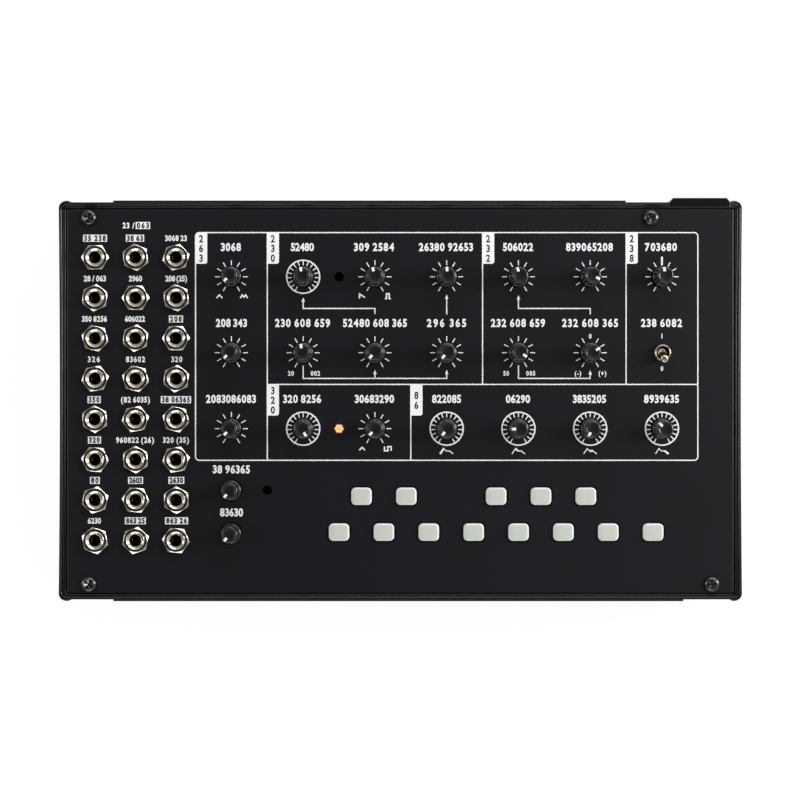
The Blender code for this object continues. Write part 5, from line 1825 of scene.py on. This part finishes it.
def place_chips(bottom):
    """Chips with two rows of bent legs, hung under the board, with a notch at one end."""
    body = soft_boxes(HOUSING_EDGE, span(0, 0, CHIP_LENGTH, CHIP_BODY_WIDTH, -CHIP_HEIGHT, -CHIP_GAP))
    notch = plug(CHIP_NOTCH, -CHIP_HEIGHT - OVERRUN, CHIP_GAP - CHIP_HEIGHT, SMALL_ROUND,
                 Matrix.Translation((-CHIP_LENGTH / 2, 0, 0)))
    body = mesh_by_steps("chip_body", body, [("DIFFERENCE", notch)], moulded_epoxy())
    reach, root = CHIP_WIDTH / 2, CHIP_BODY_WIDTH / 2 - CHIP_GAP
    shoulder, thin = -(CHIP_HEIGHT + CHIP_GAP) / 2, PIN_WIDTH / 2
    spans = []
    for k in range(CHIP_LEGS):
        x = (k - (CHIP_LEGS - 1) / 2) * CHIP_LEG_PITCH
        for side in (-1, 1):
            spans += [span(x, side * (root + reach) / 2, 2 * PIN_WIDTH, reach - root, shoulder - thin / 2,
                           shoulder + thin / 2),
                      span(x, side * (reach - thin / 2), PIN_WIDTH, thin, shoulder, 0)]
    legs = finish_mesh("chip_legs", soft_boxes(PIN_EDGE, *spans), nickel_plated_brass())
    parts = (("body", body, "moulded_abs"), ("legs", legs, "nickel"))
    for k in range(CHIP_ROWS * CHIP_COLUMNS):
        row, column = divmod(k, CHIP_COLUMNS)
        x = (column - (CHIP_COLUMNS - 1) / 2) * CHIP_PITCH
        y = (row - (CHIP_ROWS - 1) / 2) * CHIP_ROW_PITCH
        place_set(f"chip_{k + 1}", parts, (x, y, bottom))


def place_capacitors(bottom):
    """Sleeved cans beside the inlet, crimped near the board, with a bare metal end."""
    radius, edge, height = CAPACITOR_RADIUS, CAPACITOR_EDGE, CAPACITOR_HEIGHT
    bare = radius - 2 * edge
    profile = [(0, 0), (radius - edge, 0)]
    profile += [(radius - edge + edge * share, -z) for z, share in CAPACITOR_CRIMP]
    profile += fillet(radius - edge, edge - height, edge, 0, -90)
    profile += [(bare, -height), (bare, edge - height), (0, edge - height)]
    sleeve = finish_mesh("capacitor_sleeve", turned(profile), moulded_black_nylon())
    end = turned([(0, edge - height), (bare, edge - height), (bare, edge / 2 - height),
                  (bare - edge, -height), (0, -height)])
    end = finish_mesh("capacitor_end", end, nickel_plated_brass())
    parts = (("sleeve", sleeve, "moulded_abs"), ("end", end, "nickel"))
    inlet_low, inlet_high = box_of("power_inlet")
    for k in range(CAPACITORS):
        x = inlet_low.x - (inlet_high.x - inlet_low.x) / 2 - radius - k * CAPACITOR_PITCH
        place_set(f"capacitor_{k + 1}", parts, (x, board_high.y - 2 * radius, bottom))


def make_control_board():
    top = board_high.z - POT_HEIGHT
    bottom = top - BOARD_THICKNESS
    size, middle = board_high - board_low, (board_low + board_high) / 2
    levels = ((bottom, BOARD_EDGE), (bottom + BOARD_EDGE, 0), (top - BOARD_EDGE, 0), (top, BOARD_EDGE))
    plate = stacked([round_rectangle(*middle.xy, size.x - 2 * edge, size.y - 2 * edge, BOARD_CORNER, z)
                     for z, edge in levels])
    mesh = finish_mesh("control_board_plate", plate, solder_masked_laminate())
    place_piece("control_board_plate", mesh, replaces=["control_board"])
    place_potentiometers(top)
    place_switches(top)
    place_trimmers(top)
    place_chips(bottom)
    place_capacitors(bottom)


class SYNTH_OT_control_board(bpy.types.Operator):
    """Make the circuit board with the housings, chips and capacitors soldered to it"""
    bl_idname = "synth.control_board"
    bl_label = "Control Board"

    def execute(self, context):
        make_control_board()
        return {"FINISHED"}


# Small sizes of the trimmer rotors
ROTOR_EDGE = 0.15 * MM
ROTOR_SLOT_WIDTH = 0.5 * MM
ROTOR_SLOT_DEPTH = 0.6 * MM


def make_trimmer_rotors():
    low, high = box_of(trimmer_nodes[0])
    radius, edge = (high.x - low.x) / 2, ROTOR_EDGE
    rotor = turned([(0, low.z), (radius - edge, low.z), (radius, low.z + edge), (radius, high.z - edge),
                    (radius - edge, high.z), (0, high.z)])
    slot = soft_boxes(PIN_EDGE, span(0, 0, 2 * (radius + OVERRUN), ROTOR_SLOT_WIDTH,
                                     high.z - ROTOR_SLOT_DEPTH, high.z + OVERRUN))
    mesh = mesh_by_steps("trimmer_rotor", rotor, [("DIFFERENCE", slot)], moulded_black_nylon())
    for node in trimmer_nodes:
        place_piece(f"{node}_disc", mesh, f"{node}_body", (*middle_of(node).xy, 0),
                    replaces=[node])


class SYNTH_OT_trimmer_rotors(bpy.types.Operator):
    """Make the two slotted trimmer rotors behind the small holes"""
    bl_idname = "synth.trimmer_rotors"
    bl_label = "Trimmer Rotors"

    def execute(self, context):
        make_trimmer_rotors()
        return {"FINISHED"}


# Sizes of the studio
TABLE_WIDTH = 8000 * MM
TABLE_THICKNESS = 20 * MM
SKY_DARK_MIDDLE = (-0.1, 0.0, 0.0)
SKY_DARK_TO = 0.02
SKY_BRIGHT_FROM = 0.85
SKY_BRIGHT_SIDE = (0.4, 0.15, 0.0)
BACK_LAMP_PLACE = (250 * MM, 750 * MM, 650 * MM)
BACK_LAMP_SIZE = (900 * MM, 350 * MM)
LEFT_LAMP_PLACE = (-700 * MM, 50 * MM, 480 * MM)
RIGHT_LAMP_PLACE = (760 * MM, 150 * MM, 520 * MM)
SIDE_LAMP_SIZE = (300 * MM, 700 * MM)
FRONT_LAMP_PLACE = (-100 * MM, -850 * MM, 420 * MM)
FRONT_LAMP_SIZE = (800 * MM, 250 * MM)


def make_sky(scene, look):
    """A sky that is bright at the horizon, as a white room is, and darker overhead."""
    sky = bpy.data.worlds.new("studio_sky")
    scene.world = sky
    sky.use_nodes = True
    tree = sky.node_tree
    tree.nodes.clear()
    coordinates = add_node(tree, "TexCoord")
    ray = coordinates.outputs["Generated"]
    flat = add_node(tree, "VectorMath", {"operation": "MULTIPLY", 1: (1, 1, 0)}, {0: ray})
    away = add_node(tree, "VectorMath", {"operation": "DISTANCE", 1: SKY_DARK_MIDDLE},
                    {0: flat.outputs["Vector"]})
    level = add_node(tree, "MapRange", {"interpolation_type": "SMOOTHSTEP", "From Min": SKY_DARK_TO,
                                        "From Max": SKY_BRIGHT_FROM, "To Min": look.zenith,
                                        "To Max": look.horizon}, {"Value": away.outputs["Value"]})
    side = add_node(tree, "VectorMath", {"operation": "DOT_PRODUCT", 1: SKY_BRIGHT_SIDE}, {0: ray})
    lean = add_node(tree, "Math", {"operation": "ADD", 1: 1.0}, {0: side.outputs["Value"]})
    strength = add_node(tree, "Math", {"operation": "MULTIPLY"},
                        {0: level.outputs["Result"], 1: lean.outputs["Value"]})
    back = add_node(tree, "Background", {"Color": (1, 1, 1, 1)}, {"Strength": strength.outputs["Value"]})
    add_node(tree, "OutputWorld", None, {"Surface": back.outputs[0]})


def make_softbox(name, power, place, size):
    lamp = bpy.data.lights.new(name, "AREA")
    lamp.shape = "RECTANGLE"
    lamp.size, lamp.size_y = size
    lamp.energy = power
    holder = bpy.data.objects.new(name, lamp)
    holder.location = place
    holder.rotation_euler = (-Vector(place)).to_track_quat("-Z", "Y").to_euler()
    bpy.context.scene.collection.objects.link(holder)


def make_studio():
    look = settings().studio
    scene = bpy.context.scene
    scene.view_settings.view_transform = "Standard"
    half = TABLE_WIDTH / 2
    table = stacked([[Vector((x * half, y * half, z)) for x, y in ((1, 1), (-1, 1), (-1, -1), (1, -1))]
                     for z in (-TABLE_THICKNESS, 0.0)])
    floor = bpy.data.objects.new("table", finish_mesh("table", table, white_table()))
    scene.collection.objects.link(floor)
    make_sky(scene, look)
    make_softbox("back_softbox", look.back_lamp, BACK_LAMP_PLACE, BACK_LAMP_SIZE)
    make_softbox("left_softbox", look.left_lamp, LEFT_LAMP_PLACE, SIDE_LAMP_SIZE)
    make_softbox("right_softbox", look.right_lamp, RIGHT_LAMP_PLACE, SIDE_LAMP_SIZE)
    make_softbox("front_softbox", look.front_lamp, FRONT_LAMP_PLACE, FRONT_LAMP_SIZE)
    camera = bpy.data.cameras.new("camera")
    camera.lens = camera.sensor_width * look.camera_distance / look.picture_width
    camera.clip_end = 10 * look.camera_distance
    eye = bpy.data.objects.new("camera", camera)
    eye.location = origin + Vector((look.camera_x, look.camera_y, look.camera_distance))
    scene.collection.objects.link(eye)
    scene.camera = eye


class SYNTH_OT_studio(bpy.types.Operator):
    """Set up the table, the sky, the softboxes and the camera"""
    bl_idname = "synth.studio"
    bl_label = "Studio"

    def execute(self, context):
        make_studio()
        return {"FINISHED"}


GROUPS = (TraySettings, PanelSettings, ControlSettings, MetalSettings, StudioSettings, SynthesizerSettings)
OPERATORS = (SYNTH_OT_studio, SYNTH_OT_case_tray, SYNTH_OT_front_panel, SYNTH_OT_printed_marks,
             SYNTH_OT_panel_screws, SYNTH_OT_jacks, SYNTH_OT_knobs, SYNTH_OT_keys, SYNTH_OT_toggle_switch,
             SYNTH_OT_lamp, SYNTH_OT_power_inlet, SYNTH_OT_feet, SYNTH_OT_control_board,
             SYNTH_OT_trimmer_rotors)


class SYNTH_PT_sidebar(bpy.types.Panel):
    """Lists the steps and the settings"""
    bl_idname = "SYNTH_PT_sidebar"
    bl_label = "Synthesizer"
    bl_space_type = "VIEW_3D"
    bl_region_type = "UI"
    bl_category = "Synthesizer"

    def draw(self, context):
        for operator in OPERATORS:
            self.layout.operator(operator.bl_idname)
        for group in ("tray", "panel", "controls", "metal", "studio"):
            box = self.layout.box()
            values = getattr(context.scene.synthesizer, group)
            for name in values.bl_rna.properties.keys():
                if name not in ("rna_type", "name"):
                    box.prop(values, name)


def register():
    for group in GROUPS:
        bpy.utils.register_class(group)
    bpy.types.Scene.synthesizer = bpy.props.PointerProperty(
        type=SynthesizerSettings, name="Synthesizer", description="Settings of the synthesizer")
    for operator in OPERATORS:
        bpy.utils.register_class(operator)
    bpy.utils.register_class(SYNTH_PT_sidebar)


def unregister():
    bpy.utils.unregister_class(SYNTH_PT_sidebar)
    for operator in reversed(OPERATORS):
        bpy.utils.unregister_class(operator)
    del bpy.types.Scene.synthesizer
    for group in reversed(GROUPS):
        bpy.utils.unregister_class(group)


def main():
    register()
    for operator in OPERATORS:
        getattr(bpy.ops.synth, operator.bl_idname.partition(".")[2])()
    bpy.context.view_layer.update()


if __name__ == "__main__":
    main()
